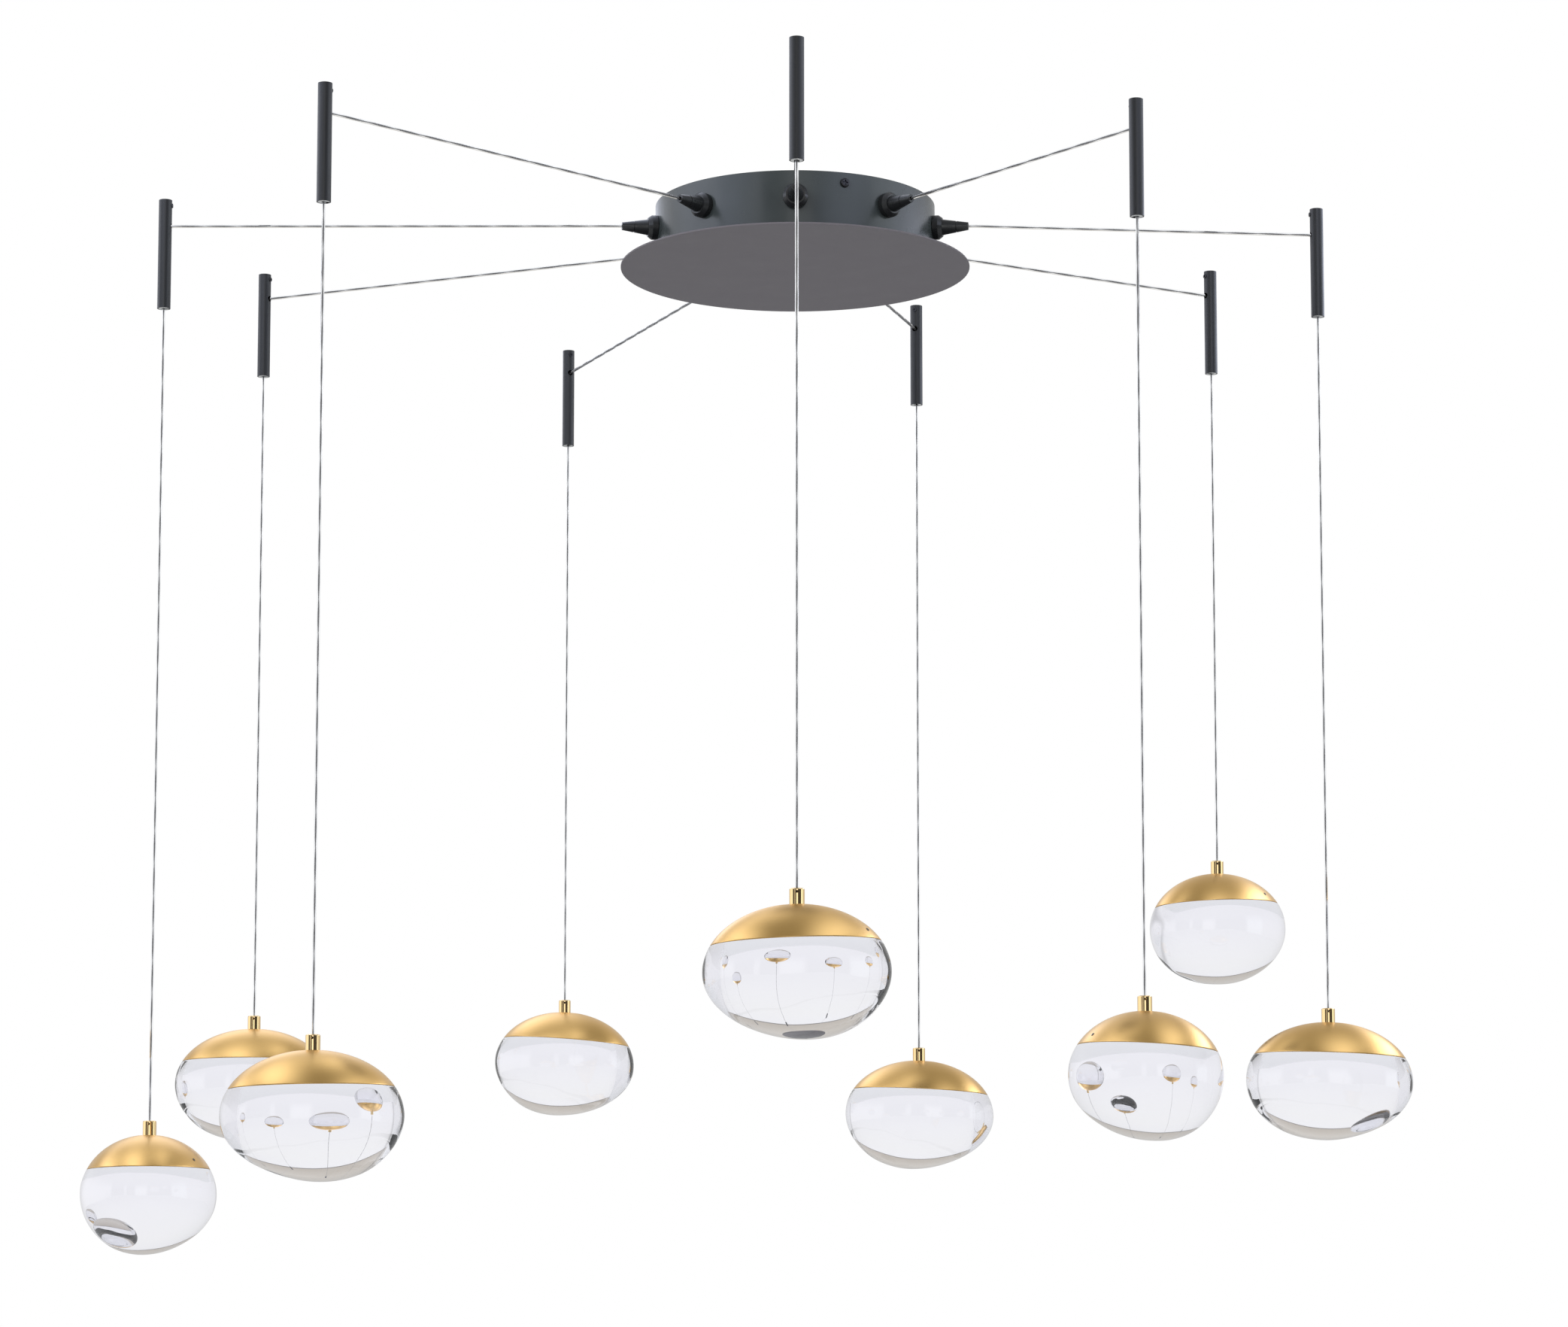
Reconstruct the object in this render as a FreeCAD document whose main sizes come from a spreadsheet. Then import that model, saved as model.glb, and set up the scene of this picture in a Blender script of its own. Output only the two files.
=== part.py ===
import FreeCAD, Part
import math
import os
import Sketcher

# Cluster pendant: nine glass drops that hang on thin cables from one round ceiling canopy.
# Millimetres. The origin is the centre of the canopy in the plane of the ceiling and +Z is up.
# Turns round the canopy are counted from the front, -Y, towards +X.

# Each row: name, value, what it measures.
SIZES = [
    ("ring_diameter", 254, "outside of the canopy's side ring"),
    ("ring_height", 55, "from the ceiling down to the ring's lower edge"),
    ("ring_wall", 2, "sheet of the side ring"),
    ("ring_flange_width", 14, "inward lip that carries the cover"),
    ("ring_flange_thickness", 2, "sheet of that lip"),
    ("cover_diameter", 317, "flat disc under the ring"),
    ("cover_thickness", 2, "sheet of the disc"),
    ("cover_edge", 0.6, "rounding of the disc's edges"),
    ("stud_inset", 9, "from the ring's outside in to a stud's axis"),
    ("stud_diameter", 4, "welded stud"),
    ("stud_length", 8, "stud above the disc"),
    ("stud_turn", 60, "turn of the first stud"),
    ("stud_gap", 0.25, "radial gap of a stud in the lip"),
    ("nut_flats", 7, "cover nut across flats"),
    ("nut_height", 3.2, "cover nut"),
    ("bracket_diameter", 120, "middle disc of the ceiling bracket"),
    ("bracket_thickness", 2, "sheet of the bracket"),
    ("arm_width", 28, "each of the bracket's arms"),
    ("tab_height", 22, "arm's end that is bent down"),
    ("tab_gap", 0.3, "between a tab's corners and the ring"),
    ("bracket_hole_circle", 90, "circle of the ceiling screws"),
    ("bracket_hole_diameter", 5.5, "hole for a ceiling screw"),
    ("wire_hole_diameter", 22, "hole for the supply wires"),
    ("wire_hole_offset", 42, "from the middle to that hole"),
    ("screw_turn", 20, "turn of the first side screw"),
    ("screw_level", 9.5, "side screws below the ceiling"),
    ("screw_diameter", 4, "side screw's thread"),
    ("screw_length", 9, "side screw under its head"),
    ("screw_head_diameter", 8.2, "side screw's pan head"),
    ("screw_head_height", 2.6, "side screw's pan head"),
    ("screw_head_round", 1.4, "rounding of the pan head"),
    ("screw_slot_width", 1.3, "cross recess"),
    ("screw_slot_length", 4.6, "cross recess"),
    ("screw_slot_depth", 1.3, "cross recess"),
    ("screw_ring_gap", 0.3, "radial gap of the screw in the ring"),
    ("screw_thread_gap", 0.05, "radial gap of the screw in the tab"),
    ("cable_diameter", 2.8, "cable over its clear jacket"),
    ("cable_level", 24, "cables and glands below the ceiling"),
    ("cable_gap", 0.3, "radial gap of the cable in a gland"),
    ("cable_lead", 2.5, "straight lead out of a gland before the cable turns"),
    ("cable_turn_radius", 15, "bend of the cable at a gland's mouth"),
    ("gland_shank_diameter", 12, "threaded shank through the ring"),
    ("gland_shank_length", 9, "shank inside the ring's outer face"),
    ("gland_hole_gap", 0.15, "radial gap of the shank in the ring"),
    ("gland_flange_diameter", 22, "gland's flange"),
    ("gland_flange_depth", 5, "straight part of the flange"),
    ("gland_shoulder_depth", 3.5, "sloped part of the flange"),
    ("gland_shoulder_diameter", 17, "small end of the slope"),
    ("gland_cone_length", 23.4, "tapered strain relief"),
    ("gland_cone_base", 14.3, "cone's diameter at the flange"),
    ("gland_cone_tip", 7, "cone's diameter at the mouth"),
    ("gland_groove_place", 12.2, "from the flange to the groove round the cone"),
    ("gland_groove_width", 0.8, "groove round the cone"),
    ("gland_groove_depth", 0.5, "groove round the cone"),
    ("gland_nut_flats", 17, "lock nut across flats"),
    ("gland_nut_height", 5, "lock nut"),
    ("gland_nut_gap", 0.05, "radial gap of the shank in its nut"),
    ("tube_diameter", 12, "ceiling tube"),
    ("tube_wall", 1, "ceiling tube"),
    ("tube_length", 100, "ceiling tube"),
    ("tube_hole_diameter", 5.5, "side hole for the cable"),
    ("base_height", 12, "stub that the tube slides over"),
    ("base_gap", 0.1, "radial gap of the stub in the tube"),
    ("base_hole_diameter", 4.5, "hole for the stub's ceiling screw"),
    ("base_sink_diameter", 8, "countersink of that hole"),
    ("base_sink_depth", 2, "countersink of that hole"),
    ("grub_level", 5, "tube's grub screw below the ceiling"),
    ("grub_diameter", 4, "grub screw"),
    ("grub_gap", 0.05, "gap of the grub screw at its thread and tip"),
    ("grub_proud", 0.8, "grub screw outside the tube"),
    ("grub_socket", 2, "socket in the grub screw"),
    ("plug_height", 6, "plug in the tube's lower end"),
    ("plug_gap", 0.1, "radial gap of the plug in the tube"),
    ("plug_slot", 4.4, "notch that the cable hangs in"),
    ("pivot_height", 1.5, "cable's bending point above the tube's mouth"),
    ("pivot_gap", 0.2, "between the two lengths of cable at that point"),
    ("hub_diameter", 176, "plate that carries the terminals"),
    ("hub_thickness", 1.6, "sheet of that plate"),
    ("hub_bore", 40, "hole in the middle of that plate"),
    ("post_inset", 10, "from the hub plate's edge in to a post's axis"),
    ("post_diameter", 6, "post between plate and bracket"),
    ("terminal_width", 12, "terminal block"),
    ("terminal_length", 20, "terminal block along its cable"),
    ("terminal_height", 14, "terminal block"),
    ("terminal_reach", 62, "from the canopy's axis to a terminal block"),
    ("terminal_entry", 8, "depth of the cable's hole in a terminal block"),
    ("terminal_gap", 0.2, "radial gap of the cable in that hole"),
    ("terminal_screw", 5, "hole over a clamping screw"),
    ("terminal_screw_depth", 3, "hole over a clamping screw"),
    ("driver_length", 96, "power supply"),
    ("driver_width", 50, "power supply"),
    ("driver_height", 22, "power supply"),
    ("driver_corner", 6, "rounding of its upright edges"),
    ("glass_length", 148, "drop along its long axis"),
    ("glass_width", 118, "drop across its long axis"),
    ("glass_height", 105, "drop, cap and glass together"),
    ("cap_level", 21.8, "cap's rim above the middle of the drop"),
    ("cap_wall", 2, "sheet of the metal cap"),
    ("cap_seat", 0.4, "flat under the ferrule, cut below the cap's top"),
    ("cap_hole_gap", 0.15, "radial gap of the ferrule's spigot in cap and engine"),
    ("engine_gap", 0.3, "between the light engine and the cap"),
    ("engine_plate", 6, "light engine's plate on top of the glass"),
    ("engine_post_diameter", 24, "light engine's post under the ferrule"),
    ("lamp_diameter", 60, "light engine's lamp disc in the glass"),
    ("lamp_depth", 2.6, "lamp disc below the top of the glass"),
    ("lamp_gap", 0.4, "lamp disc to its recess in the glass"),
    ("ferrule_diameter", 12, "ferrule above the cap"),
    ("ferrule_height", 12.8, "ferrule above the cap"),
    ("ferrule_round", 1.2, "rounding of its upper edge"),
    ("ferrule_spigot_diameter", 9.6, "threaded spigot through the cap"),
    ("ferrule_spigot_length", 6, "threaded spigot"),
    ("ferrule_cable_gap", 0.2, "radial gap of the cable in the ferrule"),
    ("ferrule_screw_hole", 2.2, "hole of its set screw"),
    ("ferrule_screw_level", 3, "set screw below the ferrule's top"),
]

GLAND_COUNT = 9
SCREW_COUNT = 3

# A cable that leaves its gland within this many degrees of its tube needs no bend there.
STRAIGHT = 0.05

# Two edges' places closer than this, in millimetres, are the same place.
NEAR = 0.01

# The nine drops. reach is the tube's distance from the canopy's axis and bearing its turn round
# it, gland is the turn of the gland that the cable leaves, depth is the ferrule's top below the
# ceiling, turn is the heading of the glass's long axis from +X, and lean is how far its right
# side, seen from the front, dips. Lengths are in millimetres and turns in degrees.
DROPS = [
    {"reach": 570, "bearing": -87.3, "gland": -80, "depth": 832, "turn": 90, "lean": -0.5},
    {"reach": 566, "bearing": -115.4, "gland": -120, "depth": 717, "turn": -5, "lean": 0},
    {"reach": 548, "bearing": -45, "gland": -40, "depth": 784, "turn": 17, "lean": -1.5},
    {"reach": 605, "bearing": -157.3, "gland": -160, "depth": 675, "turn": -28, "lean": 4.9},
    {"reach": 511, "bearing": 0, "gland": 0, "depth": 680, "turn": 13, "lean": -2.4},
    {"reach": 386, "bearing": 161.7, "gland": 160, "depth": 738, "turn": -25, "lean": 3.4},
    {"reach": 444, "bearing": 39.6, "gland": 40, "depth": 749, "turn": -65, "lean": 4.3},
    {"reach": 462, "bearing": 120, "gland": 120, "depth": 571, "turn": 51, "lean": -3},
    {"reach": 475, "bearing": 90.5, "gland": 80, "depth": 730, "turn": -10, "lean": 2.4},
]

doc = FreeCAD.newDocument("ClusterPendant")


def fill_sheet():
    """Write every driving size to the sheet and give its cell the size's name."""
    rows = list(SIZES)
    for number, drop in enumerate(DROPS, 1):
        for key, value in drop.items():
            rows.append(("drop%d_%s" % (number, key), value, "drop %d" % number))
    sheet = doc.addObject("Spreadsheet::Sheet", "Sizes")
    for row, (name, value, note) in enumerate(rows, 1):
        sheet.set("A%d" % row, name)
        sheet.set("B%d" % row, str(value))
        sheet.set("C%d" % row, note)
        sheet.setAlias("B%d" % row, name)
    doc.recompute()
    return sheet


sheet = fill_sheet()


class Names(dict):
    """Writes a size's name out in full, so that a formula can hold the short name."""

    def __missing__(self, name):
        return "Sizes." + name


def formula(text, **extra):
    """Turn {name} in a formula into the sheet's cell, or into another formula."""
    return text.format_map(Names(extra))


def value(expression):
    """The number that a formula gives."""
    return float(sheet.evalExpression(expression))


RING_RADIUS = formula("({ring_diameter} / 2)")
RING_INSIDE = formula("({ring_diameter} / 2 - {ring_wall})")
STUD_REACH = formula("({ring_diameter} / 2 - {stud_inset})")
CABLE_RADIUS = formula("({cable_diameter} / 2)")
TUBE_RADIUS = formula("({tube_diameter} / 2)")
TUBE_INSIDE = formula("({tube_diameter} / 2 - {tube_wall})")
GLAND_DEPTH = formula("({gland_flange_depth} + {gland_shoulder_depth} + {gland_cone_length})")
NUT_CORNER = formula("({gland_nut_flats} / 2 / cos(30))")
NUT_SEAT = formula("sqrt({inside}^2 - {corner}^2)", inside=RING_INSIDE, corner=NUT_CORNER)
TAB_REACH = formula("sqrt(({inside} - {tab_gap})^2 - ({arm_width} / 2)^2)", inside=RING_INSIDE)
HUB_TOP = formula("({cable_level} + {terminal_height} / 2)")
TERMINAL_FACE = formula("({terminal_reach} + {terminal_length})")
TURN_REACH = formula("({ring} + {gland} + {cable_lead})", ring=RING_RADIUS, gland=GLAND_DEPTH)
PIVOT_DEPTH = formula("({tube_length} - {pivot_height})")
SPIGOT_RADIUS = formula("({ferrule_spigot_diameter} / 2)")
SEAT_RISE = formula("({glass_height} / 2 - {cap_seat})")


def heading(turn):
    """Rotation about +Z of a piece that is made pointing along +X."""
    return ("0; 0; 1", "%s - 90" % turn)


def place(item, x="0", y="0", z="0", turns=()):
    """Bind an object's placement to formulas. The last of the turns is made first."""
    rotation = " * ".join("rotation(vector(%s); %s)" % turn for turn in turns)
    rotation = rotation or "rotation(vector(0; 0; 1); 0)"
    item.setExpression("Placement", "placement(vector(%s; %s; %s); %s)" % (x, y, z, rotation))


def primitive(kind, name, sizes, **where):
    """Add a Part primitive with its sizes and place bound to formulas."""
    item = doc.addObject(kind, name)
    for field, expression in sizes.items():
        item.setExpression(field, formula(expression))
    place(item, **{key: formula(text) if isinstance(text, str) else text for key, text in where.items()})
    return item


def cylinder(name, radius, height, **where):
    """A round bar that stands on its placement along its own z axis."""
    return primitive("Part::Cylinder", name, {"Radius": radius, "Height": height}, **where)


def box(name, length, width, height, **where):
    """A block from its lowest corner."""
    return primitive("Part::Box", name, {"Length": length, "Width": width, "Height": height}, **where)


def fuse(name, pieces):
    """Join several solids into one."""
    item = doc.addObject("Part::MultiFuse", name)
    item.Shapes = pieces
    return item


def cut(name, base, tools):
    """Take one or several solids out of a solid."""
    tool = tools[0]
    if len(tools) > 1:
        tool = fuse(name + "_tools", tools)
    item = doc.addObject("Part::Cut", name)
    item.Base = base
    item.Tool = tool
    return item


def common(name, first, second):
    """Keep what two solids share."""
    item = doc.addObject("Part::Common", name)
    item.Base = first
    item.Tool = second
    return item


def copy_of(piece, name, x="0", y="0", z="0", turns=()):
    """Put one more of a piece in the document, at a place of its own."""
    link = doc.addObject("App::Link", name)
    link.setLink(piece)
    place(link, x, y, z, turns)
    return link


def group(name, pieces):
    """Several like solids that are kept together as one sub-part."""
    item = doc.addObject("Part::Compound", name)
    item.Links = pieces
    return item


def origin_part(body, role):
    """One of a body's own origin planes or axes."""
    return [part for part in body.Origin.OriginFeatures if part.Role == role][0]


def attached_sketch(body, name, plane):
    """An empty sketch on one of the body's origin planes."""
    sketch = body.newObject("Sketcher::SketchObject", name)
    sketch.AttachmentSupport = [(origin_part(body, plane), "")]
    sketch.MapMode = "FlatFace"
    return sketch


def bind(sketch, constraint, expression):
    """Add a dimension to a sketch and bind it to a formula."""
    index = sketch.addConstraint(constraint)
    sketch.setExpression("Constraints[%d]" % index, expression)


def outline(body, name, plane, corners):
    """A closed outline of straight lines. Each corner is a pair of formulas."""
    sketch = attached_sketch(body, name, plane)
    corners = [(formula(x), formula(y)) for x, y in corners]
    points = [FreeCAD.Vector(value(x), value(y), 0) for x, y in corners]
    count = len(points)
    for index in range(count):
        sketch.addGeometry(Part.LineSegment(points[index], points[(index + 1) % count]), False)
    for index in range(count):
        sketch.addConstraint(Sketcher.Constraint("Coincident", index, 2, (index + 1) % count, 1))
    for index, (x, y) in enumerate(corners):
        bind(sketch, Sketcher.Constraint("DistanceX", -1, 1, index, 1, points[index].x), x)
        bind(sketch, Sketcher.Constraint("DistanceY", -1, 1, index, 1, points[index].y), y)
    return sketch


def circle(body, name, plane, x, y, radius):
    """A sketch of one circle, its centre and radius given as formulas."""
    sketch = attached_sketch(body, name, plane)
    x, y, radius = formula(x), formula(y), formula(radius)
    centre = FreeCAD.Vector(value(x), value(y), 0)
    sketch.addGeometry(Part.Circle(centre, FreeCAD.Vector(0, 0, 1), value(radius)), False)
    bind(sketch, Sketcher.Constraint("DistanceX", -1, 1, 0, 3, centre.x), x)
    bind(sketch, Sketcher.Constraint("DistanceY", -1, 1, 0, 3, centre.y), y)
    bind(sketch, Sketcher.Constraint("Radius", 0, value(radius)), radius)
    return sketch


def turned(body, name, sketch, axis):
    """Spin an outline a full turn about one of the body's axes."""
    feature = body.newObject("PartDesign::Revolution", name)
    feature.Profile = sketch
    feature.ReferenceAxis = (origin_part(body, axis), [""])
    feature.Angle = 360
    return feature


def drilled(body, name, sketch, reverse=False):
    """Cut a sketch right through the body, to one side of the sketch."""
    feature = body.newObject("PartDesign::Pocket", name)
    feature.Profile = sketch
    feature.Type = "ThroughAll"
    feature.Reversed = reverse
    return feature


def repeated(body, name, feature, count):
    """Repeat a feature round the body's z axis."""
    pattern = body.newObject("PartDesign::PolarPattern", name)
    pattern.Originals = [feature]
    pattern.Axis = (origin_part(body, "Z_Axis"), [""])
    pattern.Angle = 360
    pattern.Occurrences = count
    body.Tip = pattern
    return pattern


def rounded(body, name, base, edges, radius):
    """Round some edges of the last feature."""
    feature = body.newObject("PartDesign::Fillet", name)
    feature.Base = (base, edges)
    feature.setExpression("Radius", formula(radius))
    return feature


def edges_where(shape, test):
    """Names of the edges whose middle passes a test."""
    names = []
    for index, edge in enumerate(shape.Edges, 1):
        middle = edge.valueAt((edge.FirstParameter + edge.LastParameter) / 2)
        if test(edge, middle):
            names.append("Edge%d" % index)
    return names


def round_the_canopy(count, first="0"):
    """Turns of pieces that are evenly spaced round the canopy."""
    return ["(%s + %d * 360 / %d)" % (first, index, count) for index in range(count)]


def across(turn, reach):
    """Place of a point at a turn and a distance from the canopy's axis."""
    return "%s * sin(%s)" % (reach, turn), "-%s * cos(%s)" % (reach, turn)


GLAND_TURNS = round_the_canopy(GLAND_COUNT)
SCREW_TURNS = round_the_canopy(SCREW_COUNT, formula("{screw_turn}"))
STUD_TURNS = round_the_canopy(SCREW_COUNT, formula("{stud_turn}"))


def canopy_ring():
    """Side ring: one turned section with a lip, and holes for glands, side screws and studs."""
    body = doc.addObject("PartDesign::Body", "canopy_ring")
    section = outline(body, "ring_section", "XZ_Plane", [
        ("{ring_diameter} / 2", "0"),
        ("{ring_diameter} / 2", "-{ring_height}"),
        ("{ring_diameter} / 2 - {ring_wall} - {ring_flange_width}", "-{ring_height}"),
        ("{ring_diameter} / 2 - {ring_wall} - {ring_flange_width}",
         "-{ring_height} + {ring_flange_thickness}"),
        ("{ring_diameter} / 2 - {ring_wall}", "-{ring_height} + {ring_flange_thickness}"),
        ("{ring_diameter} / 2 - {ring_wall}", "0"),
    ])
    turned(body, "ring_turned", section, "Z_Axis")
    doc.recompute()

    gland = circle(body, "gland_hole", "XZ_Plane", "0", "-{cable_level}",
                   "{gland_shank_diameter} / 2 + {gland_hole_gap}")
    gland_holes = drilled(body, "gland_holes_first", gland, reverse=True)
    repeated(body, "gland_holes", gland_holes, GLAND_COUNT)
    doc.recompute()

    screw = circle(body, "screw_hole", "XZ_Plane", "0", "-{screw_level}",
                   "{screw_diameter} / 2 + {screw_ring_gap}")
    screw.setExpression("AttachmentOffset", formula(
        "placement(vector(0; 0; 0); rotation(vector(0; 1; 0); {screw_turn}))"))
    screw_holes = drilled(body, "screw_holes_first", screw, reverse=True)
    repeated(body, "screw_holes", screw_holes, SCREW_COUNT)
    doc.recompute()

    stud = circle(body, "stud_hole", "XY_Plane", STUD_REACH + " * sin({stud_turn})",
                  "-" + STUD_REACH + " * cos({stud_turn})", "{stud_diameter} / 2 + {stud_gap}")
    stud_holes = drilled(body, "stud_holes_first", stud)
    repeated(body, "stud_holes", stud_holes, SCREW_COUNT)
    return body


def canopy_cover():
    """Flat disc with three studs that stand up through the ring's lip."""
    body = doc.addObject("PartDesign::Body", "cover_disc")
    section = outline(body, "cover_section", "XZ_Plane", [
        ("0", "-{ring_height}"),
        ("{cover_diameter} / 2", "-{ring_height}"),
        ("{cover_diameter} / 2", "-{ring_height} - {cover_thickness}"),
        ("0", "-{ring_height} - {cover_thickness}"),
    ])
    disc = turned(body, "cover_turned", section, "Z_Axis")
    doc.recompute()
    rim = value(formula("{cover_diameter} / 2"))
    outer = edges_where(disc.Shape, lambda edge, middle: isinstance(edge.Curve, Part.Circle)
                        and abs(math.hypot(middle.x, middle.y) - rim) < NEAR)
    rounded(body, "cover_edges", disc, outer, "{cover_edge}")
    studs = []
    for index, turn in enumerate(STUD_TURNS, 1):
        x, y = across(turn, STUD_REACH)
        studs.append(cylinder("cover_stud_%d" % index, "{stud_diameter} / 2",
                              "{stud_length} + {cover_thickness} / 2", x=x, y=y,
                              z="-{ring_height} - {cover_thickness} / 2"))
    return fuse("canopy_cover", [body] + studs)


def hex_nut(name, flats, height, bore):
    """A nut that lies along +X from its outer face, which is at x = 0, inwards to -X."""
    prism = primitive("Part::Prism", name + "_hexagon",
                      {"Circumradius": flats + " / 2 / cos(30)", "Height": height},
                      turns=[("0; 1; 0", "-90")])
    prism.Polygon = 6
    hole = cylinder(name + "_bore", bore, height + " * 3", x=height, turns=[("0; 1; 0", "-90")])
    return cut(name, prism, [hole])


def cover_nuts():
    """Nuts on the cover's studs, above the ring's lip."""
    nut = hex_nut("cover_nut", "{nut_flats}", "{nut_height}", "{stud_diameter} / 2 + {grub_gap}")
    nuts = []
    for index, turn in enumerate(STUD_TURNS, 1):
        x, y = across(turn, STUD_REACH)
        nuts.append(copy_of(nut, "cover_nut_%d" % index, x, y,
                            formula("-{ring_height} + {ring_flange_thickness}"),
                            [("0; 1; 0", "90")]))
    return group("cover_nuts", nuts)


def ceiling_bracket():
    """Disc with three arms whose ends are bent down and take the side screws."""
    pieces = [cylinder("bracket_disc", "{bracket_diameter} / 2", "{bracket_thickness}",
                       z="-{bracket_thickness}")]
    holes = []
    for index, turn in enumerate(SCREW_TURNS, 1):
        arm = box("bracket_arm_%d" % index, TAB_REACH, "{arm_width}", "{bracket_thickness}")
        arm_end = box("bracket_tab_%d" % index, "{bracket_thickness}", "{arm_width}", "{tab_height}")
        half_x, half_y = across("(%s - 90)" % turn, formula("{arm_width} / 2"))
        place(arm, half_x, half_y, formula("-{bracket_thickness}"), [heading(turn)])
        end_x, end_y = across(turn, "(%s)" % formula(TAB_REACH + " - {bracket_thickness}"))
        place(arm_end, "%s + %s" % (half_x, end_x), "%s + %s" % (half_y, end_y),
              formula("-{tab_height}"), [heading(turn)])
        pieces += [arm, arm_end]
        x, y = across(turn, formula("({bracket_diameter} / 2)"))
        holes.append(cylinder("tab_hole_%d" % index, "{screw_diameter} / 2 + {screw_thread_gap}",
                              RING_RADIUS, x=x, y=y, z="-{screw_level}",
                              turns=[heading(turn), ("0; 1; 0", "90")]))
    for index in range(4):
        x, y = across(str(45 + 90 * index), formula("{bracket_hole_circle} / 2"))
        holes.append(cylinder("ceiling_hole_%d" % (index + 1), "{bracket_hole_diameter} / 2",
                              "{bracket_thickness} * 3", x=x, y=y, z="-{bracket_thickness} * 2"))
    holes.append(cylinder("wire_hole", "{wire_hole_diameter} / 2", "{bracket_thickness} * 3",
                          y="{wire_hole_offset}", z="-{bracket_thickness} * 2"))
    return cut("ceiling_bracket", fuse("bracket_blank", pieces), holes)


def canopy_screws():
    """Cross-recessed pan head screws through the ring into the bracket's tabs."""
    body = doc.addObject("PartDesign::Body", "side_screw_blank")
    section = outline(body, "side_screw_section", "XY_Plane", [
        ("-{screw_length}", "0"),
        ("-{screw_length}", "{screw_diameter} / 2"),
        ("0", "{screw_diameter} / 2"),
        ("0", "{screw_head_diameter} / 2"),
        ("{screw_head_height}", "{screw_head_diameter} / 2"),
        ("{screw_head_height}", "0"),
    ])
    blank = turned(body, "side_screw_turned", section, "X_Axis")
    doc.recompute()
    face = value(formula("{screw_head_height}"))
    rim = edges_where(blank.Shape, lambda edge, middle: abs(middle.x - face) < NEAR
                      and isinstance(edge.Curve, Part.Circle))
    rounded(body, "side_screw_head", blank, rim, "{screw_head_round}")
    slots = []
    for name, width, height in (("slot_flat", "{screw_slot_length}", "{screw_slot_width}"),
                                ("slot_upright", "{screw_slot_width}", "{screw_slot_length}")):
        slots.append(box(name, "{screw_slot_depth} * 2", width, height,
                         x="{screw_head_height} - {screw_slot_depth}",
                         y="-(%s) / 2" % width, z="-(%s) / 2" % height))
    screw = cut("side_screw", body, slots)
    screws = []
    for index, turn in enumerate(SCREW_TURNS, 1):
        x, y = across(turn, RING_RADIUS)
        screws.append(copy_of(screw, "side_screw_%d" % index, x, y, formula("-{screw_level}"),
                              [heading(turn)]))
    return group("canopy_screws", screws)


def cable_glands():
    """Tapered strain reliefs that stand out round the ring, each with its cable's bore."""
    body = doc.addObject("PartDesign::Body", "gland")
    bore = "{cable_diameter} / 2 + {cable_gap}"
    flange = "{gland_flange_depth} + {gland_shoulder_depth}"
    groove = flange + " + {gland_groove_place}"
    slope = "({gland_cone_base} - {gland_cone_tip}) / 2 / {gland_cone_length}"
    before = "{gland_cone_base} / 2 - {gland_groove_place} * " + slope
    after = before + " - {gland_groove_width} * " + slope
    section = outline(body, "gland_section", "XY_Plane", [
        ("-{gland_shank_length}", bore),
        ("-{gland_shank_length}", "{gland_shank_diameter} / 2"),
        ("0", "{gland_shank_diameter} / 2"),
        ("0", "{gland_flange_diameter} / 2"),
        ("{gland_flange_depth}", "{gland_flange_diameter} / 2"),
        (flange, "{gland_shoulder_diameter} / 2"),
        (flange, "{gland_cone_base} / 2"),
        (groove, before),
        (groove, before + " - {gland_groove_depth}"),
        (groove + " + {gland_groove_width}", before + " - {gland_groove_depth}"),
        (groove + " + {gland_groove_width}", after),
        (flange + " + {gland_cone_length}", "{gland_cone_tip} / 2"),
        (flange + " + {gland_cone_length}", bore),
    ])
    turned(body, "gland_turned", section, "X_Axis")
    glands = []
    for index, turn in enumerate(GLAND_TURNS, 1):
        x, y = across(turn, RING_RADIUS)
        glands.append(copy_of(body, "gland_%d" % index, x, y, formula("-{cable_level}"),
                              [heading(turn)]))
    return group("cable_glands", glands)


def gland_nuts():
    """Lock nuts on the glands' shanks, inside the ring."""
    nut = hex_nut("gland_nut", "{gland_nut_flats}", "{gland_nut_height}",
                  "{gland_shank_diameter} / 2 + {gland_nut_gap}")
    nuts = []
    for index, turn in enumerate(GLAND_TURNS, 1):
        x, y = across(turn, NUT_SEAT)
        nuts.append(copy_of(nut, "gland_nut_%d" % index, x, y, formula("-{cable_level}"),
                            [heading(turn)]))
    return group("gland_nuts", nuts)


def drop_size(number, key):
    """A drop's own size in the sheet."""
    return "Sizes.drop%d_%s" % (number, key)


def tube_place(number):
    """Where a drop's tube and cable stand under the ceiling."""
    return across(drop_size(number, "bearing"), drop_size(number, "reach"))


def cable_heading(number):
    """Rotation about +Z that turns a tube's side hole towards its gland's mouth."""
    turn_x, turn_y = across(drop_size(number, "gland"), TURN_REACH)
    x, y = tube_place(number)
    return ("0; 0; 1", "atan2(%s - (%s); %s - (%s))" % (turn_y, y, turn_x, x))


def at_each_tube(piece, name):
    """One copy of a piece in line with each ceiling tube."""
    copies = []
    for number in range(1, len(DROPS) + 1):
        x, y = tube_place(number)
        copies.append(copy_of(piece, "%s_%d" % (name, number), x, y, "0", [cable_heading(number)]))
    return copies


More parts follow.
